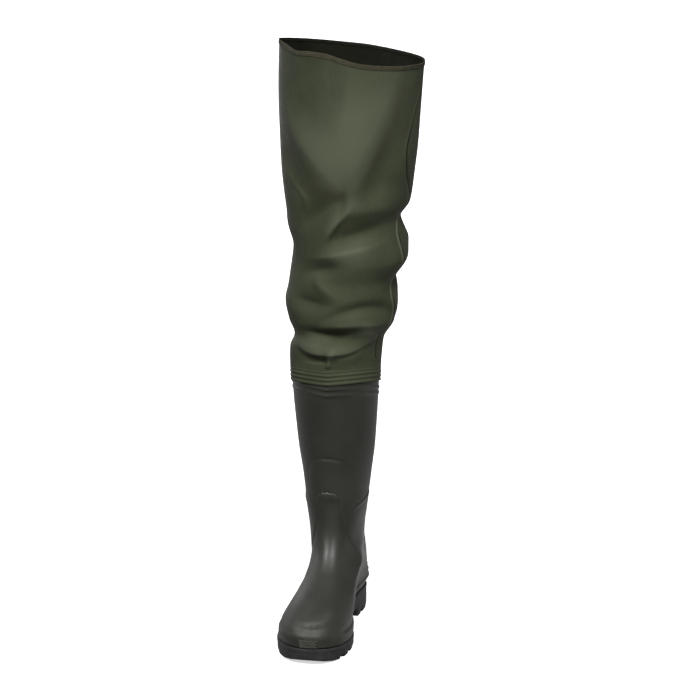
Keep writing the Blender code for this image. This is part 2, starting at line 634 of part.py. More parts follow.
# Collar tape: folded over the top edge of the leg
OUT = SEAT_GAP + BINDING_TAPE
IN = -LEG_WALL - SEAT_GAP - BINDING_TAPE
TAPE_SECTION = (
    (OUT, -BINDING_DEPTH),
    (OUT, SEAT_GAP + BINDING_TAPE),
    (IN, SEAT_GAP + BINDING_TAPE),
    (IN, -BINDING_DEPTH),
    (IN + BINDING_TAPE, -BINDING_DEPTH),
    (IN + BINDING_TAPE, SEAT_GAP),
    (SEAT_GAP, SEAT_GAP),
    (SEAT_GAP, -BINDING_DEPTH),
)
tape_rings = []
for out, lift in TAPE_SECTION:
    ring = leg_ring(COLLAR_HEIGHT + min(lift, 0.0), leg_turns, out)
    ring[:, 2] += max(lift, 0.0)
    tape_rings.append(ring)
tape_points = np.concatenate(tape_rings)
tape_faces = []
for i in range(len(TAPE_SECTION)):
    after = (i + 1) % len(TAPE_SECTION)
    tape_faces += ring_faces(i * len(leg_turns), after * len(leg_turns), len(leg_turns))
make_object("rim_binding", tape_points, tape_faces, tape_olive)
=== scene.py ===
"""Looks of the thigh wader: moulded boot, lugged sole, coated cloth leg, lapped seam and bound collar.

Sizes are in millimetres until a mesh is placed. The toe points along -Y, the inner side of the leg
is +X, and the heel stands over the origin. A turn on the boot runs from the back through the outer
side; a turn on the leg runs from the front towards the inner side.
"""
import math

import bmesh
import bpy
import numpy as np
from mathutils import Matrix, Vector


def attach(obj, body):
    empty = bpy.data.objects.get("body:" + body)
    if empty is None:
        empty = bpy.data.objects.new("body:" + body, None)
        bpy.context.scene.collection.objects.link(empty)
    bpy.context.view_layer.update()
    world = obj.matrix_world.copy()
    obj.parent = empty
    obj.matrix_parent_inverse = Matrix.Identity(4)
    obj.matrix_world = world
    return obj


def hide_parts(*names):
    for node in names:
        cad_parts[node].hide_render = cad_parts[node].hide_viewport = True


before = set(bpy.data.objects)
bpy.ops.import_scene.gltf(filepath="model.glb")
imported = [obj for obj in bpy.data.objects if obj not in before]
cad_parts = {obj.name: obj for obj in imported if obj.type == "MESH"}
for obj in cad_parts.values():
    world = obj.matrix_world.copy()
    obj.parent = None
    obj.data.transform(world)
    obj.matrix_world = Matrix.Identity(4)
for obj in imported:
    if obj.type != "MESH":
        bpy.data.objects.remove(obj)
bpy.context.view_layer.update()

MM = 0.001

# Foot
HEEL_BACK = 42.0
TOE_TIP = 254.0
BALL_WIDTH = 108.0
HEEL_WIDTH = 76.0
WAIST_WIDTH = 71.0
INSTEP_HEIGHT = 101.0
HEEL_HEIGHT = 36.0
BALL_THICKNESS = 17.0
TOE_SPRING = 8.0
TREAD_SPRING = 9.5
WAIST_CLEARANCE = 13.0
SOLE_LEDGE = 3.0
SOLE_CAP_BACK = 38.0
SOLE_CAP_FRONT = 92.0
SOLE_SPAN = HEEL_BACK + TOE_TIP
HEEL_SHARE = 0.15
WAIST_SHARE = 0.43
BALL_SHARE = 0.69
LEAN_SPAN = 0.45
HALF_BALL = BALL_WIDTH / 2 - SOLE_LEDGE
HALF_HEEL = HEEL_WIDTH / 2 - SOLE_LEDGE / 2
TOE_REACH = TOE_TIP - SOLE_LEDGE - 1.0

# Boot wall
BODY_WALL = 2.6
WALL_RISE = 20.0
RAND_RISE = 13.0
RAND_STEP = 1.3
RAND_OUT = 1.6
RAND_EDGE = 0.2
TOE_RAND_EDGE = 0.3
STEP_ROW = 10.0
SEAT_GAP = 0.3
HEEL_BUMPER = 4.0
BUMPER_ROW = 0.55
BUMPER_BELOW = 0.25
BUMPER_ABOVE = 1.4
BUMPER_END = 95.0
BUMPER_FADE = 35.0
RIB_HEIGHT = 1.2
RIB_BREADTH = 0.045
RIB_VEE = 9.0
VEE_ROUND = 0.006
VEE_DROP = 0.077
RIB_PITCH = 6.0
RIB_ROW_HEIGHT = 42.0

# Shaft and leg
SHAFT_RIM = 368.0
RIM_HALF = 62.8
LOW_RIM = RIM_HALF - 2.2
CUFF_BOTTOM = 340.0
CUFF_TOP = 370.0
CUFF_GAP = 0.5
COLLAR_HEIGHT = 817.0
LEG_WALL = 1.0
LEG_ARC = 1.5
VEE_TOP = 412.0
VEE_FADE = 42.0
FOLD_START = 0.5
FOLD_FADE = 6.0
FOLD_ENDS = 2.5
BOW_LIMIT = 2.0
SEAM_WIDTH = 4.8
SEAM_GAP_DEPTH = 1.6
GAP_MIDDLE = SEAM_WIDTH / 2 + 2.4
GAP_HALF = 2.6
GAP_FLARE = 1.2
GAP_FLARE_TOP = 415.0
BINDING_DEPTH = 5.4


# Form of the boot and the leg


def smooth_curve(stations, values):
    """Cubic through the stations that never overshoots them."""
    xs = np.asarray(stations, float)
    ys = np.asarray(values, float)
    step = np.diff(xs)
    rise = np.diff(ys) / step
    slope = np.zeros_like(ys)
    slope[0] = rise[0]
    slope[-1] = rise[-1]
    for i in range(1, len(xs) - 1):
        if rise[i - 1] * rise[i] > 0:
            slope[i] = 2 * rise[i - 1] * rise[i] / (rise[i - 1] + rise[i])

    def curve(q):
        q = np.clip(q, xs[0], xs[-1])
        i = np.clip(np.searchsorted(xs, q, side="right") - 1, 0, len(xs) - 2)
        t = (q - xs[i]) / step[i]
        start = (1 + 2 * t) * (1 - t) ** 2 * ys[i] + t * (1 - t) ** 2 * step[i] * slope[i]
        end = t * t * (3 - 2 * t) * ys[i + 1] + t * t * (t - 1) * step[i] * slope[i + 1]
        return start + end

    return curve


def table_curves(names, rows, stations):
    """One smooth curve for each named column of a table."""
    columns = list(zip(*rows))
    return {name: smooth_curve(stations, column) for name, column in zip(names, columns)}


def ease(t):
    """Smooth step from 0 to 1."""
    t = np.clip(t, 0, 1)
    return t * t * (3 - 2 * t)


def hump(t):
    """Soft bump, one at nought and gone by about two."""
    return np.exp(-np.square(t))


def round_end(distance, length):
    """Share of the full width left at a distance from a rounded end."""
    short = np.clip(1 - np.asarray(distance, float) / length, 0, 1)
    return np.sqrt(1 - short ** 2)


def unit(vectors):
    """The same directions with a length of one."""
    return vectors / np.linalg.norm(vectors, axis=-1, keepdims=True)


sole_line = smooth_curve(
    (-HEEL_BACK, 25, 85, 160, 205, TOE_TIP),
    (HEEL_HEIGHT, HEEL_HEIGHT, HEEL_HEIGHT - 6.5, BALL_THICKNESS, BALL_THICKNESS + 1.5,
     BALL_THICKNESS + TOE_SPRING),
)
foot_swing = smooth_curve((0.0, HEEL_SHARE, WAIST_SHARE, BALL_SHARE, 1.0), (0.0, 0.0, -4.5, -0.5, 6.0))


def plan_half_width(share, length, cap_back, cap_front, heel, waist, ball):
    """Half width of a foot outline at a share of its length from the back."""
    to_waist = ease((share - HEEL_SHARE) / (WAIST_SHARE - HEEL_SHARE))
    to_ball = ease((share - WAIST_SHARE) / (BALL_SHARE - WAIST_SHARE))
    width = heel + (waist - heel) * to_waist + (ball - waist) * to_ball
    distance = share * length
    return width * round_end(distance, cap_back) * round_end(length - distance, cap_front)


# Sections of the boot from the sole up, each through a point at its back and one at its front:
# reach back, height there, reach forward, height there, rounding lengths, half widths,
# share of the foot's swing, lean of the instep and shift of the axis towards the inner side,
# and share of the sole line that the section follows
UPPER_NAMES = ("back", "back_z", "front", "front_z", "cap_back", "cap_front",
               "heel", "waist", "ball", "swing", "lean", "axis", "follow")
LOW_Z = HEEL_HEIGHT + SEAT_GAP
TOE_Z = BALL_THICKNESS + TOE_SPRING + SEAT_GAP
UPPER_ROWS = (
    (39, LOW_Z, TOE_REACH, TOE_Z, 34, 88, HALF_HEEL, 33, HALF_BALL, 1, 0, 0, 1),
    (40, LOW_Z + WALL_RISE, TOE_REACH - 1, TOE_Z + WALL_RISE, 34, 86, HALF_HEEL + 1, 35, HALF_BALL - 1,
     1, 0, 0, 1),
    (41.5, 62, TOE_REACH - 9, 60, 35, 84, 37.8, 35, 44.5, 1, 1.8, 0, 0.8),
    (42, 71, TOE_REACH - 28, 69, 36, 80, 37.6, 33.4, 38.4, 1, 3.6, 0, 0.55),
    (41.5, 80, TOE_REACH - 58, 77, 36, 82, 37, 32.4, 34.2, 1, 4.8, 0, 0.35),
    (40, 90, TOE_REACH - 90, 87, 37, 90, 36.5, 32.6, 33.2, 0.85, 5, 0, 0.2),
    (38, 102, TOE_REACH - 122, INSTEP_HEIGHT, 39, 92, 36.2, 34.2, 34, 0.65, 4.2, 0, 0.1),
    (35, 118, TOE_REACH - 147, INSTEP_HEIGHT + 20, 42, 82, 37, 37, 36.5, 0.4, 2.6, 0, 0),
    (32.5, 140, TOE_REACH - 163, INSTEP_HEIGHT + 46, 50, 66, 40, 40.6, 40, 0.15, 1, 0.6, 0),
    (33, 168, TOE_REACH - 170, INSTEP_HEIGHT + 77, 58, 59, 44.8, 44.8, 44.8, 0, 0, 0.9, 0),
    (38.5, 206, TOE_REACH - 172, INSTEP_HEIGHT + 118, 60.3, 60.3, 50.2, 50.2, 50.2, 0, 0, 0.3, 0),
    (46, 250, TOE_REACH - 170, INSTEP_HEIGHT + 166, 65, 65, 55.2, 55.2, 55.2, 0, 0, -1, 0),
    (52.5, 311, TOE_REACH - 166, INSTEP_HEIGHT + 239, 70.3, 70.3, LOW_RIM, LOW_RIM, LOW_RIM,
     0, 0, -2.6, 0),
    (56, SHAFT_RIM - 16, TOE_REACH - 164, SHAFT_RIM + 16, 73, 73, RIM_HALF, RIM_HALF, RIM_HALF,
     0, 0, -3.2, 0),
)
upper_at = table_curves(UPPER_NAMES, UPPER_ROWS, range(len(UPPER_ROWS)))
RAND_ROW = RAND_RISE / WALL_RISE
RIM_ROW = len(UPPER_ROWS) - 1.0
SHAFT_RIBS = (12.0, 12.18)


# Swell of the inner side between the ankle and the ball, by table row
inner_swell = smooth_curve((0, 1, 2, 3, 4, 5, 6, 7, 8), (0, 2.5, 8, 11, 12.5, 12.5, 8, 3.5, 0))
SWELL_SHARE = 0.5
SWELL_SPREAD = 0.24


def upper_base(row, turn):
    """Point of the boot's outer form."""
    row, turn = np.broadcast_arrays(np.asarray(row, float), np.asarray(turn, float))
    v = {name: curve(row) for name, curve in upper_at.items()}
    length = v["front"] + v["back"]
    share = (1 - np.cos(turn)) / 2
    forward = share * length - v["back"]
    half = plan_half_width(share, length, v["cap_back"], v["cap_front"], v["heel"], v["waist"], v["ball"])
    over = ease((share - HEEL_SHARE) / LEAN_SPAN)
    centre = v["axis"] + v["swing"] * foot_swing(share) + v["lean"] * over
    swell = inner_swell(row) / v["waist"] * hump((share - SWELL_SHARE) / SWELL_SPREAD)
    outer_side = np.sin(turn) > 0
    x = centre - half * np.sign(np.sin(turn)) * np.where(outer_side, 1.0, 1.0 + swell)
    chord = sole_line(-v["back"]) * (1 - share) + sole_line(v["front"]) * share
    z = v["back_z"] * (1 - share) + v["front_z"] * share + v["follow"] * (sole_line(forward) - chord)
    return np.stack([x, -forward, z], axis=-1)


def surface_normals(function, u, v, du, dv):
    """Outward unit normals of a surface whose v runs anticlockwise seen from above."""
    along_u = function(u + du, v) - function(u - du, v)
    along_v = function(u, v + dv) - function(u, v - dv)
    return unit(np.cross(along_v, along_u))


def upper_normal(row, turn):
    """Outward direction of the boot, level along its bottom and top edges."""
    inside = np.clip(row, 0.02, RIM_ROW - 0.02)
    normal = surface_normals(upper_base, inside, turn, 0.02, 0.02)
    level = 1 - ease(row / 0.1) + ease((row - RIM_ROW + 0.1) / 0.1)
    normal[..., 2] *= 1 - level
    return unit(normal)


LEG_NAMES = ("half_width", "half_depth", "inward", "forward", "front_rise", "inner_rise")
CUFF_HALF = CUFF_GAP + LEG_WALL
CUFF_MIDDLE = (CUFF_BOTTOM + SHAFT_RIM) / 2


def cuff_section(height):
    """Leg section that lies just outside the shaft at a height near its rim."""
    rows = np.linspace(RIM_ROW - 2, RIM_ROW, 201)
    middle = (upper_at["back_z"](rows) + upper_at["front_z"](rows)) / 2
    v = {name: float(curve(np.interp(height, middle, rows))) for name, curve in upper_at.items()}
    half_depth = (v["front"] + v["back"]) / 2
    rise = (v["front_z"] - v["back_z"]) / (2 * half_depth)
    return (v["ball"] + CUFF_HALF, half_depth + CUFF_HALF, v["axis"], (v["front"] - v["back"]) / 2, rise, 0.0)


# Leg sections by height: half width, half depth, centre towards the inner side, centre forward,
# rise towards the front and rise towards the inner side
LEG_HEIGHTS = (CUFF_BOTTOM, CUFF_MIDDLE, SHAFT_RIM, 396, 412, 437, 460, 496, 532, 585, 612, 650, 700, 760,
               COLLAR_HEIGHT)
LEG_ROWS = (
    cuff_section(CUFF_BOTTOM),
    cuff_section(CUFF_MIDDLE),
    cuff_section(SHAFT_RIM),
    (65, 75.5, -1.5, 17, 0.19, 0),
    (63, 74.5, 2.5, 17, 0.15, 0),
    (74.5, 82, 6.5, 17, 0.1, 0),
    (78.5, 86, 7, 17, 0.06, 0),
    (76.5, 85, 9, 16, 0.03, 0),
    (82, 88, 18, 15, 0, 0),
    (82.5, 91, 12, 15, 0, -0.02),
    (88, 94, 14.5, 15, 0, -0.04),
    (92.5, 97, 15, 15, 0, -0.07),
    (96, 99, 17, 15, 0.03, -0.09),
    (97.5, 100, 19.5, 15, 0.05, -0.115),
    (98.5, 100, 22.5, 15, 0.075, -0.135),
)
leg_at = table_curves(LEG_NAMES, LEG_ROWS, LEG_HEIGHTS)

# Folds of the leg: turn in degrees, height, tilt of the line in degrees, half length along it,
# half breadth above and below it, depth outwards, how far its ends rise, and how soft its line is
FOLDS = (
    # two taut lines that meet over the knee, and the plane between them
    (27, 710, 70, 95, 45, 22, 7.5, 0, 1.6),
    (-19, 680, -46, 62, 45, 14, 5.5, 0, 1.5),
    (9, 735, 90, 100, 10, 24, 2.2, 0, 1.4),
    (8, 620, 88, 26, 5, 6, -3.5, 0, 1.4),
    # slack cloth under the taut lines
    (38, 660, 72, 55, 22, 22, -4, 0, 2),
    (-46, 660, -50, 54, 20, 24, -4.5, 0, 2),
    (-46, 640, -36, 30, 3, 5, 1.8, 0, 1.3),
    (-30, 618, -75, 14, 3, 4, 1.5, 0, 1.4),
    (29, 614, 8, 42, 18, 14, 3.8, 0, 1.9),
    # front of the knee
    (-12, 608, 38, 34, 16, 10, -6, 0, 1.7),
    (1, 585, 55, 30, 10, 4.5, 6, 0, 1.4),
    (22, 575, 13, 40, 12, 12, -6.5, 0, 1.8),
    (9, 549, 12, 52, 9, 26, 6, 0, 1.4),
    (-16, 524, 15, 26, 14, 14, -6.5, 0, 1.6),
    (-9, 496, -38, 28, 9, 9, 3, 0, 1.8),
    (-22, 471, -4, 32, 12, 22, -7.5, 0, 1.6),
    # front of the calf
    (37, 465, 2, 62, 10, 14, -7, -15, 1.8),
    (26, 438, 3, 58, 17, 8, 4.5, -4, 1.9),
    (-7, 421, -7, 36, 9, 9, -6.8, -2, 1.5),
    (17, 420, 4, 18, 7, 9, -3, 4, 1.7),
    (50, 420, -18, 24, 11, 13, 5.5, 0, 1.8),
    (6, 385, 3, 62, 19, 5, 6, 14, 1.6),
    (-14, 378, -12, 34, 4, 9, -2.6, 5, 1.6),
    (28, 379, 15, 30, 6, 11, 2.2, 5, 1.8),
    (5, 374, 66, 18, 3.5, 7, 4.6, 0, 1.6),
    (-1.5, 375, 70, 12, 4, 3, -2.6, 0, 1.6),
    # inner side
    (95, 590, -11, 39, 13, 13, -6, 0, 1.6),
    (95, 500, 15, 36, 13, 13, -6, 0, 1.6),
    (135, 545, -11, 36, 13, 13, 5, 0, 1.8),
    # outer side
    (-95, 545, 11, 51, 15, 15, -6, 0, 1.7),
    (-85, 470, 0, 51, 14, 14, 2, 0, 1.8),
    (-140, 500, 11, 39, 13, 13, -6, 0, 1.5),
    (-94, 800, 90, 120, 26, 26, 8, 0, 1.1),
    # hollow of the knee
    (180, 588, 4, 75, 11, 14, -9, 0, 1.4),
    (170, 556, 0, 75, 13, 13, 6, 0, 1.8),
    (185, 522, -4, 72, 10, 13, -10, 0, 1.4),
    (175, 486, 0, 78, 13, 13, 6, 0, 1.8),
    (180, 450, 4, 78, 10, 13, -9, 0, 1.4),
    (150, 422, 0, 60, 11, 11, 4, 0, 1.8),
)


def fold_depth(height, degrees):
    """Depth of all the folds of the leg; none goes inwards where the shaft stands inside it."""
    depth = np.zeros(np.broadcast(height, degrees).shape)
    for at, level, tilt, long, above, below, amount, bow, soft in FOLDS:
        around = ((degrees - at + 180) % 360 - 180) * LEG_ARC
        rise = height - level
        c = math.cos(math.radians(tilt))
        s = math.sin(math.radians(tilt))
        along = (around * c + rise * s) / long
        over = rise * c - around * s - bow * np.minimum(along * along, BOW_LIMIT)
        across = np.abs(over / np.where(over > 0, above, below))
        depth = depth + amount * np.exp(-np.abs(along) ** FOLD_ENDS - across ** soft)
    inward = np.minimum(depth, 0) * ease((height - SHAFT_RIM - FOLD_START) / FOLD_FADE)
    outward_part = np.maximum(depth, 0) * ease((height - SHAFT_RIM + FOLD_FADE) / FOLD_FADE)
    return inward + outward_part


def leg_base(height, turn):
    """Point of the leg's outer form."""
    height, turn = np.broadcast_arrays(np.asarray(height, float), np.asarray(turn, float))
    v = {name: curve(height) for name, curve in leg_at.items()}
    across = np.sin(turn)
    ahead = np.cos(turn)
    normal = unit(np.stack([across / v["half_width"], ahead / v["half_depth"]], axis=-1))
    depth = fold_depth(height, np.degrees(turn))
    x = v["half_width"] * across + normal[..., 0] * depth
    forward = v["half_depth"] * ahead + normal[..., 1] * depth
    z = height + v["front_rise"] * forward + v["inner_rise"] * x
    return np.stack([x + v["inward"], -(forward + v["forward"]), z], axis=-1)


def leg_normal(height, turn):
    """Outward direction of the leg, level at the cuff and the collar."""
    inside = np.maximum(height, CUFF_BOTTOM + 1)
    normal = surface_normals(leg_base, inside, turn, 0.8, 0.02)
    level = 1 - ease((height - SHAFT_RIM) / 12) + ease((height - COLLAR_HEIGHT + 10) / 10)
    normal[..., 2] *= 1 - level
    return unit(normal)


def leg_point(height, turn, offset):
    """Point at a distance outside the leg's outer form."""
    return leg_base(height, turn) + leg_normal(height, turn) * np.asarray(offset)[..., None]


def vee(turn):
    """Rise of the ribs from the front and the back to the sides, rounded at the front."""
    side = np.where(np.sin(turn) < 0, 0.5, 1.0)
    return side * RIB_VEE * (np.sqrt(np.sin(turn) ** 2 + VEE_ROUND) - VEE_DROP)


def front_nub(degrees):
    """Swell of a rib into a nub at the front."""
    return 1 + 0.5 * hump((degrees - 2) / 6) ** 2


# Waves of the collar's edge by turn in degrees
rim_wave = smooth_curve(
    (-180, -150, -120, -60, -40, -25, -10, 0, 20, 30, 50, 70, 90, 110, 150, 180),
    (2.5, 0.5, 0, 0, -4.5, -1.5, -0.5, -3, -6.5, -6, -4, -1.5, 0, 3, 2.5, 2.5),
)
RIM_WAVE_START = 720.0


def lie(height, turn):
    """Height on the leg of a row: low rows rise to the sides as the ribs do, high ones follow the collar."""
    low = vee(turn) * np.clip((VEE_TOP - height) / VEE_FADE, 0, 1)
    degrees = (np.degrees(turn) + 180) % 360 - 180
    high = rim_wave(degrees) * ease((height - RIM_WAVE_START) / (COLLAR_HEIGHT - RIM_WAVE_START))
    return height + low + high


# Relief moulded on the boot


def edge_step(distance, width):
    """Rises from 0 to 1 across the edge of a raised panel, at nought distance."""
    return ease(distance / width + 0.5)


def raised(inside, edge, groove, away, breadth, height=1.0):
    """Raised panel by the distance inside its edge, with a groove along the outside of that edge."""
    return height * edge_step(inside, edge) - groove * hump((inside + away) / breadth)


ANKLE_ARC = 0.82
PANELS_LOW_ROW = 5.5
PANELS_HIGH_ROW = 11.0
PANEL_LINE = 196.0
SHIN_MIDDLE = -2.0
SHIN_HALF = 41.0
SHIN_TALL = 48.0
SHIN_ROUND = 2.6
SHIN_REACH = 36.0
INSTEP_MIDDLE = -3.0
INSTEP_TOP = 195.5
CREASE_HEIGHT = 173.5
CREASE_CLIMB = 0.28
instep_half = smooth_curve((80, 107, 114, 138, 160, 181, 188, 192, 194.5, INSTEP_TOP),
                           (80, 74, 70, 45, 32, 23.5, 21, 16, 11, 1))
pad_front = smooth_curve((100, 114, 138, 160, 181, PANEL_LINE), (84, 67, 42, 29, 20, 15))


def shin_arches(theta, z):
    """Arched shin panel, the flat-topped instep panel under it and the ankle pads beside them."""
    side = np.abs(theta)
    across = np.abs((theta - SHIN_MIDDLE) / SHIN_HALF)
    upper = np.maximum(z - PANEL_LINE, 0) / SHIN_TALL
    arch = (across ** SHIN_ROUND + upper ** SHIN_ROUND) ** (1 / SHIN_ROUND)
    shin = raised((1 - arch) * SHIN_REACH, 1.5, 1.0, 1.6, 1.2, height=1.1)
    shin = shin * ease((z - 175) / 45) * (0.25 + 0.75 * hump((theta - SHIN_MIDDLE) / 34) ** 2)
    inside = np.minimum((instep_half(z) - np.abs(theta - INSTEP_MIDDLE)) * ANKLE_ARC, INSTEP_TOP - z)
    instep = raised(inside, 1.5, 0.45, 1.5, 1.0)
    instep = instep * (0.1 + 1.5 * ease((z - 180) / 10)) * ease((z - 125) / 40)
    pads = raised((side - pad_front(z)) * ANKLE_ARC, 2.4, 0.5, 2.6, 2.2)
    pads = pads * ease((z - 100) / 14) * ease((PANEL_LINE - z) / 22) * ease((112 - side) / 20)
    line = z - CREASE_HEIGHT - CREASE_CLIMB * (side - 50)
    spread = ease((side - 44) / 8) * ease((104 - side) / 14)
    crease = (0.8 * hump((line + 3.2) / 2.0) - 1.4 * hump(line / 1.5)) * spread
    return shin + instep + pads + crease


HEEL_RIB = 58.0
HEEL_RIB_PITCH = 7.5
HEEL_RIB_HEIGHT = 0.45
HEEL_RIBS_LOW = 50.0
HEEL_RIBS_HIGH = 78.0
COUNTER_TOP = 116.0
COUNTER_FALL = 0.13
COUNTER_HEIGHT = 0.55


def around_heel(turn):
    """Degrees from the back, and the share of the heel's form: one at the back, none past the waist."""
    back = np.abs(np.degrees((turn + math.pi) % math.tau - math.pi))
    return back, ease((BUMPER_END - back) / BUMPER_FADE)


def heel_relief(row, turn, z):
    """Swelling of the heel with its ribs, and the edge of the heel counter above it."""
    back, share = around_heel(turn)
    swell = hump((row - BUMPER_ROW) / np.where(row < BUMPER_ROW, BUMPER_BELOW, BUMPER_ABOVE)) * share
    zone = ease((z - HEEL_RIBS_LOW) / 4) * ease((HEEL_RIBS_HIGH - z) / 4) * ease((44 - back) / 8)
    ribs = np.cos((z - HEEL_RIB) * math.tau / HEEL_RIB_PITCH) * zone
    counter = raised(COUNTER_TOP - COUNTER_FALL * back - z, 1.8, 0.5, 1.5, 1.0)
    counter = counter * ease((72 - back) / 10) * ease((row - 1.0) / 0.4)
    return HEEL_BUMPER * swell + HEEL_RIB_HEIGHT * ribs + COUNTER_HEIGHT * counter


TOE_START = 190.0
TOE_DIP = 4.0
TOE_DIP_MIDDLE = 8.0
TOE_DIP_HALF = 36.0
TOE_DIP_LOW = 41.0
TOE_DIP_BACK = 140.0
TOE_ROLL = 2.2
TOE_ROLL_HEIGHT = 37.0
TOE_ROLL_SPREAD = 9.5
FEATHER_DEPTH = 1.1


def toe_dip(point):
    """Depth by which the top of the toe lies under the form, behind the roll at its front."""
    across = ease((TOE_DIP_HALF - np.abs(point[..., 0] - TOE_DIP_MIDDLE)) / 24)
    ahead = ease((-point[..., 1] - TOE_DIP_BACK) / 80)
    return TOE_DIP * ease((point[..., 2] - TOE_DIP_LOW) / 12) * ahead * across


def boot_relief(row, turn, point):
    """Height of everything moulded on the boot, outside its form."""
    theta = np.degrees(turn) - 180
    z = point[..., 2]
    at_toe = ease((-point[..., 1] - TOE_START) / 40)
    rand_top = 1 - ease((row - RAND_ROW + 0.05) / (RAND_EDGE + TOE_RAND_EDGE * at_toe))
    out = RAND_OUT * (1 - around_heel(turn)[1])
    rand = (out + RAND_STEP * (1 - 0.7 * at_toe)) * rand_top - RAND_STEP * (1 - ease(row - STEP_ROW))
    roll = TOE_ROLL * hump((z - TOE_ROLL_HEIGHT) / TOE_ROLL_SPREAD) * at_toe
    feather = FEATHER_DEPTH * (1 - ease(row / 0.06))
    shaft = shin_arches(theta, z) * ease(row - PANELS_LOW_ROW) * (1 - ease((row - PANELS_HIGH_ROW) / 0.5))
    lift = vee(turn) / RIB_ROW_HEIGHT
    ribs = sum(hump((row - rib - lift) / RIB_BREADTH) for rib in SHAFT_RIBS)
    ribs = RIB_HEIGHT * front_nub(theta) * ribs
    return rand + roll - feather - toe_dip(point) + shaft + ribs + heel_relief(row, turn, z)


# Making pieces


def only(*objects):
    """Select these objects alone, the last one active."""
    bpy.ops.object.select_all(action="DESELECT")
    for obj in objects:
        obj.select_set(True)
    bpy.context.view_layer.objects.active = objects[-1]


def flat_grid(name, across, along):
    """Grid over the unit square, ready to be wrapped on a form, with its points' shares across and along."""
    bpy.ops.object.select_all(action="DESELECT")
    bpy.ops.mesh.primitive_grid_add(x_subdivisions=across, y_subdivisions=along, size=1,
                                    location=(0.5, 0.5, 0))
    bpy.ops.object.transform_apply(location=True, rotation=False, scale=False)
    obj = bpy.context.object
    obj.name = name
    obj.data.name = name
    u, v = points_of(obj.data)[:, :2].T
    return obj, u, v


def points_of(mesh):
    values = np.empty(len(mesh.vertices) * 3)
    mesh.vertices.foreach_get("co", values)
    return values.reshape(-1, 3)


def set_points(mesh, points):
    mesh.vertices.foreach_set("co", np.ascontiguousarray(points * MM).ravel())
    mesh.update()


def keep(mesh, name, values):
    """Store one number at each point, for the finish to read."""
    layer = mesh.attributes.new(name, "FLOAT", "POINT")
    layer.data.foreach_set("value", np.ascontiguousarray(values, dtype=np.float32))


def lay_uv(mesh, around, height):
    """Lay the piece's own map out in metres, by its distance round and its height for each share."""
    layer = mesh.uv_layers[0]
    values = np.empty(len(layer.data) * 2)
    layer.data.foreach_get("uv", values)
    u, v = values.reshape(-1, 2).T
    values = np.stack([around(u), height(v)], axis=-1) * MM
    layer.data.foreach_set("uv", values.ravel())


def edit(obj):
    only(obj)
    bpy.ops.object.mode_set(mode="EDIT")
    bpy.ops.mesh.select_all(action="SELECT")


def done():
    bpy.ops.object.mode_set(mode="OBJECT")


def close_seam(obj):
    """Merge the meeting edges of a wrapped grid."""
    edit(obj)
    bpy.ops.mesh.remove_doubles(threshold=1e-6)
    done()


def outward(obj):
    edit(obj)
    bpy.ops.mesh.normals_make_consistent(inside=False)
    done()


def hollow_wall(name, across, outer, inner, outside, inside, finishes):
    """Wall drawn as one grid that goes up the outside, over the rim and down the inside, closed on itself.

    The two places take the shares round and up; the finishes are those of the outside and the inside.
    """
    rows = outer + inner + 2
    obj, u, v = flat_grid(name, across, rows)
    mesh = obj.data
    k = np.rint(v * rows)
    within = (k > outer) & (k < rows)
    share = np.where(within, (rows - 1 - k) / inner, np.where(k < rows, k / outer, 0.0))
    points = np.empty((len(u), 3))
    points[~within] = outside(u[~within], share[~within])
    points[within] = inside(u[within], share[within])
    set_points(mesh, points)
    for finish in finishes:
        mesh.materials.append(FINISH[finish])
    row_of_face = np.arange(len(mesh.polygons)) // across
    mesh.polygons.foreach_set("material_index", np.where(row_of_face > outer, 1, 0).astype(np.int32))
    return obj, u, share


def smooth(obj, angle):
    only(obj)
    bpy.ops.object.shade_smooth_by_angle(angle=math.radians(angle))


def closed(obj, angle):
    """A wrapped piece with its meeting edges merged, facing outwards and shaded smooth."""
    close_seam(obj)
    outward(obj)
    smooth(obj, angle)
    return obj


def dressed(obj, finish, angle):
    """A piece in its finish, shaded smooth."""
    obj.data.materials.append(FINISH[finish])
    smooth(obj, angle)
    return obj


def apply(obj, kind, **settings):
    """Add a modifier with its settings and apply it."""
    only(obj)
    modifier = obj.modifiers.new(kind.title(), kind)
    for key, value in settings.items():
        setattr(modifier, key, value)
    bpy.ops.object.modifier_apply(modifier=modifier.name)


def extrude_to(obj, place):
    """Extrude the selected faces and move the new ones to their place by their shares across and along."""
    bpy.ops.mesh.extrude_region_move()
    edit_mesh = bmesh.from_edit_mesh(obj.data)
    across = edit_mesh.verts.layers.float["across"]
    along = edit_mesh.verts.layers.float["along"]
    moved = [vert for vert in edit_mesh.verts if vert.select]
    u = np.array([vert[across] for vert in moved])
    v = np.array([vert[along] for vert in moved])
    for vert, point in zip(moved, place(u, v) * MM):
        vert.co = point
    bmesh.update_edit_mesh(obj.data)


def layered(name, across, along, places):
    """Solid drawn as a grid and extruded from level to level."""
    obj, u, v = flat_grid(name, across, along)
    keep(obj.data, "across", u)
    keep(obj.data, "along", v)
    set_points(obj.data, places[0](u, v))
    edit(obj)
    for place in places[1:]:
        extrude_to(obj, place)
    bpy.ops.mesh.select_all(action="SELECT")
    bpy.ops.mesh.remove_doubles(threshold=1e-6)
    done()
    outward(obj)
    return obj


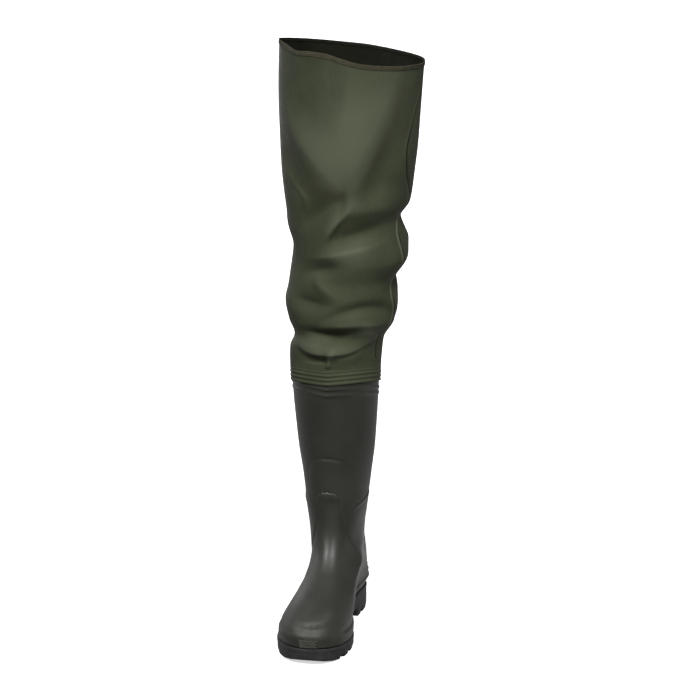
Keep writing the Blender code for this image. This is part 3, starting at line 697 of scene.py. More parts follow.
def scatter(name, stud, centres, firsts, seconds, thirds):
    """Joined copies of one small mesh, each turned to its own three directions."""
    shape = points_of(stud.data)
    faces = [tuple(face.vertices) for face in stud.data.polygons]
    bpy.data.objects.remove(stud)
    points = []
    all_faces = []
    for centre, first, second, third in zip(centres, firsts, seconds, thirds):
        start = len(points) * len(shape)
        points.append(centre + shape[:, :1] * first + shape[:, 1:2] * second + shape[:, 2:] * third)
        all_faces += [tuple(start + i for i in face) for face in faces]
    mesh = bpy.data.meshes.new(name)
    mesh.from_pydata((np.concatenate(points) * MM).tolist(), [], all_faces)
    obj = bpy.data.objects.new(name, mesh)
    bpy.context.collection.objects.link(obj)
    return obj


# Pieces


def ring_shares(rings):
    """Share of the way along a grid at which each band of rings ends."""
    return np.concatenate([[0], np.cumsum(rings)]) / sum(rings)


UPPER_COLUMNS = 208
UPPER_STOPS = (0.0, 0.12, 0.58, 0.74, 1.2, 6.5, 10.7, 11.85, 12.5, RIM_ROW)
UPPER_RINGS = (6, 14, 12, 10, 128, 132, 34, 44, 6)
UPPER_SHARES = ring_shares(UPPER_RINGS)
UPPER_INNER_RINGS = 32
body_inset = smooth_curve((STEP_ROW, STEP_ROW + 1), (0.0, 1.0))


def upper_outside(u, v):
    turn = u * math.tau
    row = np.interp(v, UPPER_SHARES, UPPER_STOPS)
    base = upper_base(row, turn)
    return base + upper_normal(row, turn) * boot_relief(row, turn, base)[..., None]


def upper_inside(u, v):
    turn = u * math.tau
    row = v * RIM_ROW
    base = upper_base(row, turn)
    inset = BODY_WALL + RAND_STEP * (1 - body_inset(row)) + toe_dip(base)
    return base - upper_normal(row, turn) * inset[..., None]


KNURL_ROWS = 5
KNURL_COLUMNS = 8
KNURL_HALF_WIDTH = 10.6
KNURL_LOW_ROW = 0.09
KNURL_HIGH_ROW = 0.54
KNURL_TURN = 181.0
KNURL_HEIGHT = 0.9
KNURL_SAMPLES = 81
STUD_WIDE = 0.66
STUD_TALL = 0.58
STUD_SINK = 0.1
BED_ROW = 0.3
BED_EDGE = 1.2


def knurl_bed_shade(row, turn):
    """Painted shade on the bed between the studs of the knurl patch, on the front of the rand."""
    middle = upper_base(BED_ROW, math.radians(KNURL_TURN))[0]
    point = upper_base(row, turn)
    beside = KNURL_HALF_WIDTH + BED_EDGE - np.abs(point[..., 0] - middle)
    level = np.minimum(row - KNURL_LOW_ROW, KNURL_HIGH_ROW - row) * WALL_RISE + BED_EDGE
    return ease(beside / BED_EDGE) * ease(level / BED_EDGE) * (-point[..., 1] > TOE_START)


def make_boot():
    boot, u, share = hollow_wall("moulded_boot", UPPER_COLUMNS, sum(UPPER_RINGS), UPPER_INNER_RINGS,
                                 upper_outside, upper_inside, ("boot_rubber", "boot_lining"))
    keep(boot.data, "bed", knurl_bed_shade(np.interp(share, UPPER_SHARES, UPPER_STOPS), u * math.tau))
    return closed(boot, 50)


LEG_COLUMNS = 220
LEG_STOPS = (CUFF_BOTTOM, CUFF_TOP + 6, 640.0, COLLAR_HEIGHT)
LEG_RINGS = (60, 190, 60)
LEG_INNER_RINGS = (10, 76, 16)
LEG_INNER_WALL = 1.8
CUFF_RIB = 341.5
CUFF_RIB_HEIGHT = 0.9
CUFF_RIBS_TOP = CUFF_TOP - 10.0


def row_heights(share, rings):
    return np.interp(share, ring_shares(rings), LEG_STOPS)


def cuff_ribs(height, turn):
    """Welded ribs of the cuff, with a nub on each at the front."""
    phase = np.cos((height - CUFF_RIB) * math.tau / RIB_PITCH)
    zone = ease((CUFF_RIBS_TOP - height) / 3.0)
    return CUFF_RIB_HEIGHT * (0.5 + 0.5 * phase) * zone * front_nub(np.degrees(turn))


# Turn of the seam's line by height: the folds carry it to and fro
seam_turn = smooth_curve(
    (368, 410, 448, 480, 507, 570, 615, 660, 694, 743, 790, COLLAR_HEIGHT),
    (70, 66, 82, 74, 78, 70, 82, 69, 65, 73, 86, 90),
)


def seam_gap(height, degrees):
    """Narrow gap in the cloth behind the lapped seam, wider at its foot."""
    away = (degrees - seam_turn(height)) * LEG_ARC - GAP_MIDDLE
    half = GAP_HALF + GAP_FLARE * ease((GAP_FLARE_TOP - height) / 12)
    return hump(away / half) * ease((height - CUFF_TOP) / 6)


SEAM_MIDDLE = math.radians(75)
SEAM_CROWDING = 0.6


def leg_turn(u):
    """Turn of a column of the leg; the columns stand closer along the seam."""
    around = (u - 0.5) * math.tau
    return around - SEAM_CROWDING * np.sin(around - SEAM_MIDDLE)


def leg_outside(u, v):
    turn = leg_turn(u)
    row = row_heights(v, LEG_RINGS)
    relief = cuff_ribs(row, turn) - SEAM_GAP_DEPTH * seam_gap(row, np.degrees(turn))
    return leg_point(lie(row, turn), turn, relief)


def leg_inside(u, v):
    turn = leg_turn(u)
    row = row_heights(v, LEG_INNER_RINGS)
    within = ease((row - CUFF_TOP) / 20) * ease((COLLAR_HEIGHT - row) / 40)
    return leg_point(lie(row, turn), turn, -LEG_WALL - (LEG_INNER_WALL - LEG_WALL) * within)


def leg_map(along):
    """Distance up the outside of the leg and on down its inside, by the share along the grid."""
    outer = sum(LEG_RINGS)
    inner = sum(LEG_INNER_RINGS)
    k = along * (outer + inner + 2)
    down = row_heights((outer + inner + 1 - k) / inner, LEG_INNER_RINGS)
    return np.where(k < outer + 0.5, row_heights(k / outer, LEG_RINGS), 2 * COLLAR_HEIGHT - down)


def make_leg():
    leg, u, share = hollow_wall("cloth_leg", LEG_COLUMNS, sum(LEG_RINGS), sum(LEG_INNER_RINGS),
                                leg_outside, leg_inside, ("coated_cloth", "cloth_lining"))
    turn = leg_turn(u)
    row = row_heights(share, LEG_RINGS)
    # fold depth, read by the cloth finish for painted shade in the troughs and paler crests, part wear, part
    # painted highlight
    keep(leg.data, "fold", fold_depth(lie(row, turn), np.degrees(turn)))
    # gap behind the seam, also read by the cloth finish for its painted shade
    keep(leg.data, "gap", seam_gap(row, np.degrees(turn)))
    lay_uv(leg.data, lambda share: np.degrees(leg_turn(share)) * LEG_ARC, leg_map)
    return closed(leg, 60)


SEAM_LOW = CUFF_TOP
SEAM_HIGH = COLLAR_HEIGHT - BINDING_DEPTH - 2.0
SEAM_SINK = -0.4
seam_profile = smooth_curve((0.0, 0.3, 0.6, 0.88, 1.0), (0.05, 0.25, 0.5, 0.8, 0.6))


def seam_place(on_top):
    """Top or underside of the lapped strip."""
    def place(u, v):
        row = SEAM_LOW + (SEAM_HIGH - SEAM_LOW) * v
        turn = np.radians(seam_turn(row) + (u - 0.5) * SEAM_WIDTH / LEG_ARC)
        return leg_point(lie(row, turn), turn, seam_profile(u) if on_top else SEAM_SINK)

    return place


def make_seam():
    seam = layered("lapped_seam", 8, 260, (seam_place(True), seam_place(False)))
    return dressed(seam, "seam_cloth", 50)


TAPE_OUT = 0.9
TAPE_IN = -LEG_WALL - 0.7
TAPE_SECTION = (
    (0.2, -BINDING_DEPTH + 0.3), (0.6, -BINDING_DEPTH), (TAPE_OUT, -BINDING_DEPTH + 0.5), (TAPE_OUT, -4.2),
    (TAPE_OUT - 0.35, -3.8), (TAPE_OUT, -3.4), (TAPE_OUT + 0.1, -2.4), (TAPE_OUT, -1.4),
    (TAPE_OUT - 0.2, -1.1), (TAPE_OUT, -0.8), (TAPE_OUT - 0.2, 0.3), (0.3, 0.8), (-0.5, 0.9), (-1.2, 0.8),
    (TAPE_IN + 0.2, 0.3), (TAPE_IN, -1.0), (TAPE_IN, -3.6), (TAPE_IN + 0.3, -4.2), (TAPE_IN + 0.6, -3.9),
    (TAPE_IN + 0.6, -0.3), (0.2, -0.3),
)
TAPE_FOLD = 12
TAPE_COLUMNS = 240


def binding_point(turn, out, lift):
    """Point of the collar tape at a distance outside the leg's edge and above it."""
    point = leg_point(lie(COLLAR_HEIGHT + np.minimum(lift, 0.0), turn), turn, out)
    point[..., 2] += np.maximum(lift, 0.0)
    return point


def binding_place(u, v):
    section = np.array(TAPE_SECTION + TAPE_SECTION[:1])
    share = np.linspace(0, 1, len(section))
    out, lift = (np.interp(v, share, column) for column in section.T)
    return binding_point((u - 0.5) * math.tau, out, lift)


def make_binding():
    tape, u, v = flat_grid("collar_binding", TAPE_COLUMNS, len(TAPE_SECTION))
    set_points(tape.data, binding_place(u, v))
    section_of_face = np.arange(len(tape.data.polygons)) // TAPE_COLUMNS
    tape.data.polygons.foreach_set("material_index", (section_of_face >= TAPE_FOLD).astype(np.int32))
    lay_uv(tape.data, lambda share: share * 360 * LEG_ARC, lambda share: share * 4 * BINDING_DEPTH)
    # the inner half of the tape takes a darker copy of its finish: painted shade inside the collar
    for finish in ("binding_tape", "tape_inside"):
        tape.data.materials.append(FINISH[finish])
    return closed(tape, 50)


STITCH_COUNT = 178
STITCH_HALF = 1.25
STITCH_RADIUS = 0.28
STITCH_LIFT = -3.8
STITCH_OUT = TAPE_OUT - 0.1


def make_stitches():
    bpy.ops.object.select_all(action="DESELECT")
    bpy.ops.mesh.primitive_uv_sphere_add(segments=6, ring_count=6, radius=1)
    stud = bpy.context.object
    turn = np.arange(STITCH_COUNT) * math.tau / STITCH_COUNT
    centre = binding_point(turn, STITCH_OUT, STITCH_LIFT)
    ahead = unit(binding_point(turn + 0.01, STITCH_OUT, STITCH_LIFT) - centre)
    out = leg_normal(lie(COLLAR_HEIGHT + STITCH_LIFT, turn), turn)
    up = np.cross(out, ahead)
    stitches = scatter("collar_stitches", stud, centre, up * STITCH_RADIUS, out * STITCH_RADIUS,
                       ahead * STITCH_HALF)
    outward(stitches)
    return dressed(stitches, "stitch_thread", 60)


def sole_half_width(share):
    return plan_half_width(share, SOLE_SPAN, SOLE_CAP_BACK, SOLE_CAP_FRONT, HEEL_WIDTH / 2, WAIST_WIDTH / 2,
                           BALL_WIDTH / 2)


def tread_line(forward):
    return np.interp(forward, (38.0, 42.0, 98, 112, 200, 215, 230, 243, TOE_TIP),
                     (0.0, WAIST_CLEARANCE, WAIST_CLEARANCE - 2, 0.0, 0.0, 0.7, 2.6, 5.6, TREAD_SPRING))


def sole_place(inset, height):
    """Level of the sole: how far it lies inside the outline, and its height by distance forward."""
    def place(u, v):
        share = (1 - np.cos(v * math.pi)) / 2
        forward = share * (SOLE_SPAN - 2 * inset) - HEEL_BACK + inset
        half = np.maximum(sole_half_width((forward + HEEL_BACK) / SOLE_SPAN) - inset, 0.0)
        half = half * np.where((v < 1e-6) | (v > 1 - 1e-6), 0.0, 1.0)
        x = foot_swing((forward + HEEL_BACK) / SOLE_SPAN) + half * np.sin((u - 0.5) * math.pi)
        return np.stack([x, -forward, height(forward)], axis=-1)

    return place


def line_over(line, rise):
    """Height at a rise over the top of the sole or over its tread."""
    return lambda forward: line(forward) + rise


# Levels of the sole from its top down: inset and height
SOLE_LEVELS = (
    (1.4, sole_line),
    (0.4, line_over(sole_line, -0.3)),
    (0.0, line_over(sole_line, -1.1)),
    (0.0, line_over(sole_line, -4.2)),
    (0.6, line_over(sole_line, -4.8)),
    (0.6, lambda forward: np.minimum(tread_line(forward) + 5.0, sole_line(forward) - 5.6)),
    (1.2, line_over(tread_line, 1.0)),
    (2.2, tread_line),
)

# Grooves between the lugs: side, distance forward, length, width, depth and turn
INNER = 1.0
OUTER = -1.0
SIDE_GROOVES = (
    (INNER, 211, 30, 13, 6, -8),
    (INNER, 185.5, 32, 13, 5, 4),
    (INNER, 160, 32, 13, 5, 12),
    (INNER, 134, 32, 13, 5, 14),
    (OUTER, 201, 32, 13, 5, 6),
    (OUTER, 175, 32, 13, 5, -6),
    (OUTER, 149, 32, 13, 5, -12),
    (OUTER, 124, 30, 13, 5, -14),
    (INNER, 20, 22, 11, 6, 6),
    (INNER, -9, 22, 11, 6, 10),
    (OUTER, 20, 22, 11, 6, -6),
    (OUTER, -9, 22, 11, 6, -10),
)
MIDDLE_GROOVES = (135, 161, 187)
MIDDLE_GROOVE = (34.0, 6.0, 5.0)
GROOVE_OVERRUN = 8.0
GROOVE_ROUND = 1.6
BLOCK_UNDER = 6.0


def groove_box(centre, forward, length, width, depth, turn):
    """Tapered block that cuts one groove of the tread."""
    bpy.ops.object.select_all(action="DESELECT")
    bpy.ops.mesh.primitive_cube_add(size=MM)
    box = bpy.context.object
    box.scale = (length, width, depth + BLOCK_UNDER)
    box.location = (centre * MM, -forward * MM, (depth - BLOCK_UNDER) / 2 * MM)
    box.rotation_euler[2] = math.radians(-turn)
    bpy.ops.object.transform_apply(location=True, rotation=True, scale=True)
    edit(box)
    bpy.ops.mesh.select_mode(type="EDGE")
    mesh = bmesh.from_edit_mesh(box.data)
    for edge in mesh.edges:
        edge.select = all(vert.co.z > 0 for vert in edge.verts)
    mesh.select_flush_mode()
    bmesh.update_edit_mesh(box.data)
    bpy.ops.mesh.bevel(offset=GROOVE_ROUND * MM, segments=3, affect="EDGES")
    done()
    return box


def make_sole():
    sole = layered("lugged_sole", 28, 150, [sole_place(*level) for level in SOLE_LEVELS])
    boxes = []
    for side, forward, length, width, depth, turn in SIDE_GROOVES:
        share = (forward + HEEL_BACK) / SOLE_SPAN
        reach = float(sole_half_width(np.array(share))) - length / 2 + GROOVE_OVERRUN
        centre = float(foot_swing(share)) + side * reach
        boxes.append(groove_box(centre, forward, length, width, depth, turn))
    boxes += [groove_box(-1.0, forward, *MIDDLE_GROOVE, 0.0) for forward in MIDDLE_GROOVES]
    only(*boxes)
    bpy.ops.object.join()
    cutter = bpy.context.object
    apply(sole, "BOOLEAN", operation="DIFFERENCE", solver="EXACT", use_self=True, object=cutter)
    bpy.data.objects.remove(cutter)
    apply(sole, "BEVEL", width=0.5 * MM, segments=2, limit_method="ANGLE", angle_limit=math.radians(50))
    sole.data.materials.clear()
    return dressed(sole, "sole_rubber", 35)


INSOLE_INSET = BODY_WALL + RAND_STEP + 1.1
INSOLE_THICKNESS = 4.5
INSOLE_CUP = 1.2
INSOLE_CAP_BACK = 32.0
INSOLE_CAP_FRONT = 82.0
SEAT_BACK = UPPER_ROWS[0][0]
SEAT_WAIST = UPPER_ROWS[0][7]
INSOLE_BACK = SEAT_BACK - INSOLE_INSET
INSOLE_FRONT = TOE_REACH - INSOLE_INSET


def insole_place(lift, inset):
    """Level of the insole: its height over the seat, and how far it lies inside the outline."""
    def place(u, v):
        share = (1 - np.cos(v * math.pi)) / 2
        forward = share * (INSOLE_FRONT + INSOLE_BACK) - INSOLE_BACK
        half = plan_half_width(share, INSOLE_FRONT + INSOLE_BACK, INSOLE_CAP_BACK, INSOLE_CAP_FRONT,
                               HALF_HEEL - INSOLE_INSET, SEAT_WAIST - INSOLE_INSET, HALF_BALL - INSOLE_INSET)
        half = np.maximum(half - inset, 0.0)
        own = (forward + SEAT_BACK) / (TOE_REACH + SEAT_BACK)
        across = np.sin((u - 0.5) * math.pi)
        cup = INSOLE_CUP * across ** 4 * lift / INSOLE_THICKNESS
        z = sole_line(forward) + SEAT_GAP + lift + cup
        return np.stack([foot_swing(own) + half * across, -forward, z], axis=-1)

    return place


def make_insole():
    levels = ((INSOLE_THICKNESS, 1.0), (INSOLE_THICKNESS - 0.8, 0.0), (0.0, 0.0))
    insole = layered("felt_insole", 20, 90, [insole_place(lift, inset) for lift, inset in levels])
    return dressed(insole, "felt", 50)


def make_knurl():
    """Patch of raised diamonds on the front of the rand."""
    bpy.ops.object.select_all(action="DESELECT")
    bpy.ops.mesh.primitive_cone_add(vertices=4, radius1=1, radius2=0.5, depth=1, location=(0, 0, 0.5))
    stud = bpy.context.object
    bpy.ops.object.transform_apply(location=True, rotation=False, scale=False)
    turns = np.radians(KNURL_TURN) + np.linspace(-0.5, 0.5, KNURL_SAMPLES)
    line = upper_base((KNURL_LOW_ROW + KNURL_HIGH_ROW) / 2, turns)
    arc = np.concatenate([[0], np.cumsum(np.linalg.norm(np.diff(line, axis=0), axis=1))])
    arc = arc - arc[KNURL_SAMPLES // 2]
    rows = []
    places = []
    for i in range(KNURL_ROWS):
        shift = 0.5 if i % 2 else 0.0
        for k in range(KNURL_COLUMNS - i % 2):
            rows.append(KNURL_LOW_ROW + (KNURL_HIGH_ROW - KNURL_LOW_ROW) * i / (KNURL_ROWS - 1))
            places.append((2 * (k + shift) / (KNURL_COLUMNS - 1) - 1) * KNURL_HALF_WIDTH)
    row = np.array(rows)
    turn = np.interp(places, arc, turns)
    base = upper_base(row, turn)
    out = upper_normal(row, turn)
    aside = unit(np.cross(out, (0.0, 0.0, 1.0)))
    up = np.cross(aside, out)
    half = STUD_WIDE * KNURL_HALF_WIDTH / (KNURL_COLUMNS - 1)
    tall = STUD_TALL * (KNURL_HIGH_ROW - KNURL_LOW_ROW) * WALL_RISE / (KNURL_ROWS - 1)
    seat = base + out * (boot_relief(row, turn, base) - STUD_SINK)[:, None]
    knurl = scatter("toe_knurl", stud, seat, aside * half, up * tall, out * KNURL_HEIGHT)
    outward(knurl)
    # studs in the paler copy of the boot rubber: painted highlight
    knurl.data.materials.append(FINISH["knurl_rubber"])
    return knurl


# Finishes


class Socket:
    """One output of a shader node; Python's operators on it add Math nodes."""

    def __init__(self, finish, output):
        self.finish = finish
        self.output = output

    def maths(self, operation, first, second):
        return self.finish.node("ShaderNodeMath", {"operation": operation}, {0: first, 1: second})

    def __add__(self, other):
        return self.maths("ADD", self, other)

    def __sub__(self, other):
        return self.maths("SUBTRACT", self, other)

    def __rsub__(self, other):
        return self.maths("SUBTRACT", other, self)

    def __mul__(self, other):
        return self.maths("MULTIPLY", self, other)

    __radd__ = __add__
    __rmul__ = __mul__


class Finish:
    """A surface finish: one material, its shader and the nodes that feed it."""

    def __init__(self, name, specular=0.5):
        self.material = bpy.data.materials.new(name)
        self.material.use_nodes = True
        self.tree = self.material.node_tree
        self.shader = self.tree.nodes["Principled BSDF"]
        self.shader.inputs["Specular IOR Level"].default_value = specular

    def feed(self, target, value):
        if isinstance(value, Socket):
            self.tree.links.new(value.output, target)
        else:
            target.default_value = value

    def node(self, kind, settings=None, sockets=None, output=0):
        made = self.tree.nodes.new(kind)
        for key, value in (settings or {}).items():
            setattr(made, key, value)
        for key, value in (sockets or {}).items():
            self.feed(made.inputs[key], value)
        return Socket(self, made.outputs[output])

    def place(self):
        """Object coordinates."""
        return self.node("ShaderNodeTexCoord", output="Object")

    def map(self):
        """The piece's own map, in metres."""
        return self.node("ShaderNodeTexCoord", output="UV")

    def axis(self, vector, name):
        return self.node("ShaderNodeSeparateXYZ", sockets={0: vector}, output=name)

    def stored(self, name):
        return self.node("ShaderNodeAttribute", {"attribute_name": name}, output="Fac")

    def noise(self, vector, scale, detail=3.0, stretch=(1.0, 1.0, 1.0)):
        stretched = self.node("ShaderNodeMapping", sockets={"Vector": vector, "Scale": stretch})
        return self.node("ShaderNodeTexNoise",
                         sockets={"Vector": stretched, "Scale": scale, "Detail": detail})

    def cells(self, vector, scale):
        return self.node("ShaderNodeTexVoronoi", sockets={"Vector": vector, "Scale": scale},
                         output="Distance")

    def waves(self, across, up):
        """Angles that turn once in each pitch across and up the piece's map."""
        uv = self.map()
        return self.axis(uv, "X") * (math.tau / across), self.axis(uv, "Y") * (math.tau / up)

    def sine(self, value):
        return self.node("ShaderNodeMath", {"operation": "SINE"}, {0: value})

    def between(self, value, low, high):
        """Smooth share of the way from low to high."""
        return self.node("ShaderNodeMapRange", {"interpolation_type": "SMOOTHSTEP"},
                         {"Value": value, "From Min": low, "From Max": high})

    def blend(self, share, first, second):
        return self.node("ShaderNodeMix", {"data_type": "RGBA"}, {0: share, 6: first, 7: second}, output=2)

    def bump(self, height, distance, strength=1.0):
        return self.node("ShaderNodeBump",
                         sockets={"Height": height, "Distance": distance, "Strength": strength})

    def finish(self, colour, roughness, normal):
        self.feed(self.shader.inputs["Base Color"], colour)
        self.feed(self.shader.inputs["Roughness"], roughness)
        self.feed(self.shader.inputs["Normal"], normal)
        return self.material


def colour(red, green, blue):
    """Linear colour from the usual 0 to 255 numbers."""
    parts = [channel / 255 for channel in (red, green, blue)]
    return tuple(c / 12.92 if c <= 0.04045 else ((c + 0.055) / 1.055) ** 2.4 for c in parts) + (1.0,)


WEAVE_PITCH = 0.0011
KNIT_PITCH = 0.0016
TWILL_PITCH = (0.0013, 0.0018)
DEEP_SHADE = (0.003, 0.004, 0.002, 1.0)
BED_SHADE = (0.006, 0.006, 0.005, 1.0)


def coated_cloth(name, dark, base, pale, painted_highlight_share=0.0):
    """Plastic-coated cloth: the weave shows faintly through the coat; fold crests are painted paler, partly
    as wear from rubbing and partly as painted highlight, fold troughs painted darker as shade, a band painted
    paler as highlight where asked, and the seam's gap painted dark as shade.
    """
    f = Finish(name, specular=0.04)
    where = f.place()
    u, v = f.waves(WEAVE_PITCH, WEAVE_PITCH)
    weave = f.sine(u) * f.sine(v)
    cloud = f.noise(where, 14.0, 3.0)
    streak = f.noise(f.map(), 60.0, 4.0, (9.0, 1.0, 1.0))
    fold = f.stored("fold")
    crest_wear_and_highlight = f.between(fold, 0.5, 7.0)
    painted_trough_shade = f.between(fold, -0.5, -7.0)
    tone = f.between(cloud * 0.72 + streak * 0.28, 0.3, 0.72)
    tint = f.blend(tone, dark, base)
    # fold crests painted paler: partly wear from rubbing, partly painted highlight
    tint = f.blend(crest_wear_and_highlight * 0.55, tint, pale)
    # fold troughs painted darker: painted shade in the creases
    tint = f.blend(painted_trough_shade * 0.45, tint, dark)
    level = f.axis(where, "Z")
    # on the seam, a band up the knee painted paler: a painted highlight on the lapped strip
    painted_highlight_zone = f.between(level, 0.66, 0.6) * f.between(level, 0.41, 0.43)
    tint = f.blend(painted_highlight_zone * painted_highlight_share, tint, pale)
    # painted shade in the gap behind the lapped seam
    tint = f.blend(f.stored("gap"), tint, DEEP_SHADE)
    rough = 0.5 + cloud * 0.14 - crest_wear_and_highlight * 0.06
    height = weave * 0.15 + f.noise(where, 420.0, 2.0) * 0.7 + f.noise(where, 45.0, 3.0) * 3.0
    return f.finish(tint, rough, f.bump(height, 0.00012))


def lining_cloth(name, dark, base):
    """Knitted back of the coated cloth."""
    f = Finish(name, specular=0.05)
    u, v = f.waves(KNIT_PITCH, KNIT_PITCH)
    rib = f.sine(u) * f.sine(v + u)
    cloud = f.noise(f.place(), 22.0, 3.0)
    tint = f.blend(f.between(cloud, 0.3, 0.7), dark, base)
    return f.finish(tint, 0.8 + cloud * 0.1, f.bump(rib, 0.0002))


def moulded_rubber(name, dark, base, pale, dust, gloss, specular):
    """Moulded rubber: fine skin grain, faint flow clouds, scuffs on the foot, dust near the floor and painted
    shade in the bed of the knurl patch.
    """
    f = Finish(name, specular=specular)
    where = f.place()
    z = f.axis(where, "Z")
    cloud = f.noise(where, 16.0, 4.0)
    grain = f.noise(where, 900.0, 2.0)
    pits = f.cells(where, 1500.0)
    scratch = f.between(f.noise(where, 90.0, 4.0, (1.0, 0.14, 1.4)), 0.62, 0.72)
    low = 1.0 - f.between(z, 0.02, 0.12)
    scuff = scratch * low
    tint = f.blend(f.between(cloud, 0.3, 0.7), dark, base)
    tint = f.blend(scuff * 0.14, tint, pale)
    settled = (1.0 - f.between(z, 0.012, 0.06)) * f.between(f.noise(where, 55.0, 4.0), 0.42, 0.68)
    tint = f.blend(settled * 0.07, tint, dust)
    # painted shade in the bed between the studs of the knurl patch
    tint = f.blend(f.stored("bed") * 0.75, tint, BED_SHADE)
    rough = gloss + cloud * 0.1 + scuff * 0.14 + (1.0 - f.between(z, 0.05, 0.085)) * 0.1
    height = grain * 0.6 + pits * 0.4 + f.noise(where, 60.0, 2.0) * 2.5
    return f.finish(tint, rough, f.bump(height, 0.00008))


def woven_tape(name, dark, base):
    """Folded tape with a close twill rib."""
    f = Finish(name, specular=0.08)
    u, v = f.waves(*TWILL_PITCH)
    twill = f.sine(u + v)
    cloud = f.noise(f.place(), 120.0, 3.0)
    tint = f.blend(f.between(twill * 0.25 + cloud, 0.25, 0.85), dark, base)
    return f.finish(tint, 0.72 + cloud * 0.12, f.bump(twill, 0.0002))


def felt_cloth(name, dark, base):
    """Pressed felt with short loose fibres."""
    f = Finish(name, specular=0.15)
    where = f.place()
    fibre = f.noise(where, 800.0, 5.0, (1.0, 0.4, 1.0))
    cloud = f.noise(where, 40.0, 3.0)
    tint = f.blend(f.between(fibre * 0.6 + cloud * 0.4, 0.3, 0.7), dark, base)
    return f.finish(tint, 0.92, f.bump(fibre, 0.0004))


def thread(name, dark, base):
    """Twisted sewing thread."""
    f = Finish(name, specular=0.3)
    where = f.place()
    strand = f.noise(where, 1500.0, 2.0)
    tint = f.blend(f.between(strand, 0.3, 0.7), dark, base)
    return f.finish(tint, 0.6, f.bump(strand, 0.0001))


# Name of each finish, its kind, its tones from dark to pale, and then the share of a painted highlight band
# or the dust, gloss and shine
FINISHES = (
    ("coated_cloth", coated_cloth, colour(55, 59, 44), colour(67, 71, 55), colour(89, 93, 77)),
    # lapped strip: a band painted paler as a highlight along its edge
    ("seam_cloth", coated_cloth, colour(56, 60, 45), colour(68, 72, 56), colour(104, 108, 92), 0.5),
    # knit back of the leg, its tones set near black as painted shade inside the leg
    ("cloth_lining", lining_cloth, colour(22, 23, 16), colour(29, 30, 22)),
    ("boot_rubber", moulded_rubber, colour(34, 35, 30), colour(42, 43, 37), colour(72, 72, 64),
     colour(104, 100, 90), 0.38, 0.16),
    # knurl studs: a paler copy of the boot rubber, painted highlight on the stud tops
    ("knurl_rubber", moulded_rubber, colour(96, 97, 88), colour(108, 109, 99), colour(122, 122, 112),
     colour(104, 100, 90), 0.36, 0.16),
    ("boot_lining", lining_cloth, colour(60, 60, 54), colour(74, 74, 66)),
    ("sole_rubber", moulded_rubber, colour(31, 31, 32), colour(40, 40, 41), colour(74, 73, 72),
     colour(110, 106, 98), 0.5, 0.15),
    ("binding_tape", woven_tape, colour(56, 55, 41), colour(74, 72, 55)),
    # inner half of the folded tape: a darker copy of the tape, painted shade inside the collar
    ("tape_inside", woven_tape, colour(24, 24, 18), colour(34, 34, 26)),
    ("stitch_thread", thread, colour(52, 51, 38), colour(68, 66, 50)),
    ("felt", felt_cloth, colour(78, 78, 74), colour(104, 104, 98)),
)
FINISH = {name: make(name, *looks) for name, make, *looks in FINISHES}

boot = make_boot()
leg = make_leg()
seam = make_seam()
binding = make_binding()
stitches = make_stitches()
sole = make_sole()
insole = make_insole()
knurl = make_knurl()

for piece, slot_name, nodes in (
    (boot, "boot_green", ("boot_upper", "shin_guard")),
    (leg, "leg_green", ("thigh_leg",)),
    (seam, "leg_green", ("leg_seam",)),
    (binding, "tape_olive", ("rim_binding",)),
    (stitches, "tape_olive", ()),
    (sole, "outsole_black", ("outsole",)),
    (insole, "insole_grey", ("insole",)),
    (knurl, "boot_green", ()),
):
    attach(piece, "root")
    if nodes:
        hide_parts(*nodes)


# Floor, light and camera

FLOOR_GLOW = 0.62
SKY_LIGHT = 0.12


def pale_floor():
    """Studio floor, large enough to fill the picture."""
    bpy.ops.object.select_all(action="DESELECT")
    bpy.ops.mesh.primitive_plane_add(size=60, location=(0, 0, 0))
    floor = bpy.context.object
    floor.name = "studio_floor"
    f = Finish("pale_floor")
    cloud = f.noise(f.place(), 1.5, 2.0)
    tint = f.blend(cloud, (0.95, 0.95, 0.95, 1.0), (0.98, 0.98, 0.98, 1.0))
    floor.data.materials.append(f.finish(tint, 0.7, f.bump(f.noise(f.place(), 120.0), 0.0001)))
    f.shader.inputs["Emission Color"].default_value = (1.0, 1.0, 1.0, 1.0)
    f.shader.inputs["Emission Strength"].default_value = FLOOR_GLOW
    floor.visible_diffuse = False
    floor.visible_glossy = False


def add_light(name, kind, place, aim, **settings):
    lamp = bpy.data.lights.new(name, kind)
    for key, value in settings.items():
        setattr(lamp, key, value)
    obj = bpy.data.objects.new(name, lamp)
    obj.location = place
    obj.rotation_euler = (Vector(aim) - Vector(place)).to_track_quat("-Z", "Y").to_euler()
    bpy.context.collection.objects.link(obj)
    return obj


def soft_box(name, place, aim, width, height, power):
    """Studio box that is seen only as a gleam on the rubber and the cloth."""
    box = add_light(name, "AREA", place, aim, shape="RECTANGLE", size=width, size_y=height, energy=power)
    box.visible_diffuse = False
    box.visible_camera = False


pale_floor()
world = bpy.data.worlds.new("studio")
bpy.context.scene.world = world
world.use_nodes = True
world.node_tree.nodes["Background"].inputs["Color"].default_value = (1.0, 1.0, 1.0, 1.0)
world.node_tree.nodes["Background"].inputs["Strength"].default_value = SKY_LIGHT

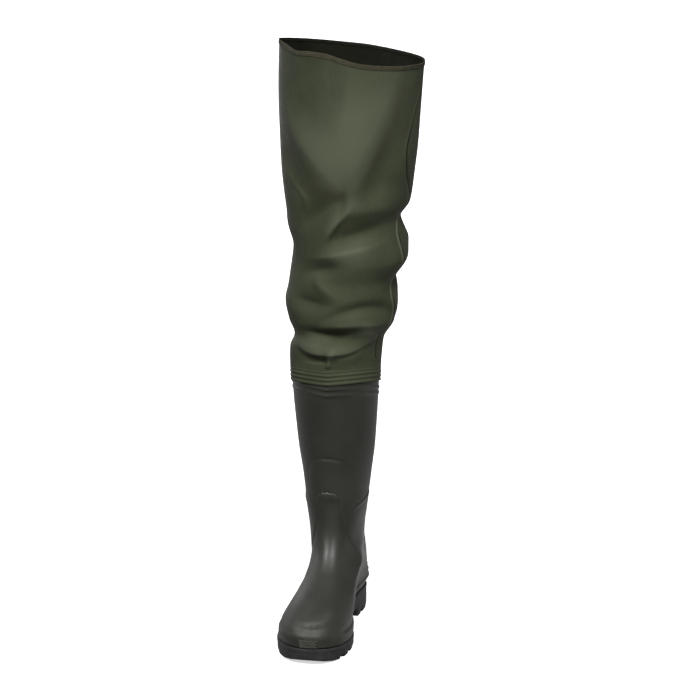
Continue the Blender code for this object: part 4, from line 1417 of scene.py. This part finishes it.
key = add_light("key", "SUN", (0.65, -2.9, 3.0), (0.0, 0.0, 0.0), energy=4.9, angle=math.radians(26))
key.visible_glossy = False

# Boxes of light: place, aim, width, height and power
SOFT_BOXES = (
    ("box_left", (-1.4, -0.95, 2.78), (0.0, -0.1, 0.12), 0.4, 1.0, 190),
    ("box_right", (0.85, -0.9, 2.95), (0.0, -0.1, 0.12), 0.35, 1.0, 170),
    ("front_card", (0.2, -2.4, 0.49), (0.0, -0.2, 0.06), 3.6, 0.24, 13),
    ("back_left", (-0.9, 1.7, 0.7), (0.0, -0.2, 0.06), 1.0, 1.2, 8.5),
    ("edge_left", (-1.9, 1.0, 0.75), (0.0, 0.0, 0.5), 0.5, 1.2, 8),
    ("edge_right", (1.9, 1.0, 0.8), (0.0, 0.0, 0.2), 0.5, 1.4, 5),
    ("floor_gleam", (0.0, 0.0, 0.0005), (0.0, 0.0, 1.0), 8.0, 8.0, 105),
    ("heel_gleam", (0.27, 0.1, 0.001), (0.27, 0.1, 1.0), 0.4, 0.5, 0.4),
)
for box in SOFT_BOXES:
    soft_box(*box)

# Camera: turned to the inner side, 4 m off and 1.42 m up
CAMERA_TURN = math.radians(12.0)
CAMERA_DISTANCE = 4.0
CAMERA_HEIGHT = 1.42
CAMERA_PITCH = math.radians(14.41)
ANKLE_FORWARD = 0.026
BOOT_MIDDLE_SHIFT = 0.0204

camera_data = bpy.data.cameras.new("camera")
camera_data.lens = 150
camera_data.sensor_width = 36
camera = bpy.data.objects.new("camera", camera_data)
camera.location = (math.sin(CAMERA_TURN) * CAMERA_DISTANCE,
                   -ANKLE_FORWARD - math.cos(CAMERA_TURN) * CAMERA_DISTANCE, CAMERA_HEIGHT)
pan = math.atan(BOOT_MIDDLE_SHIFT * camera_data.sensor_width / camera_data.lens)
camera.rotation_euler = (math.pi / 2 - CAMERA_PITCH, 0.0, CAMERA_TURN - pan)
bpy.context.collection.objects.link(camera)
bpy.context.scene.camera = camera
bpy.context.scene.view_settings.view_transform = "Standard"
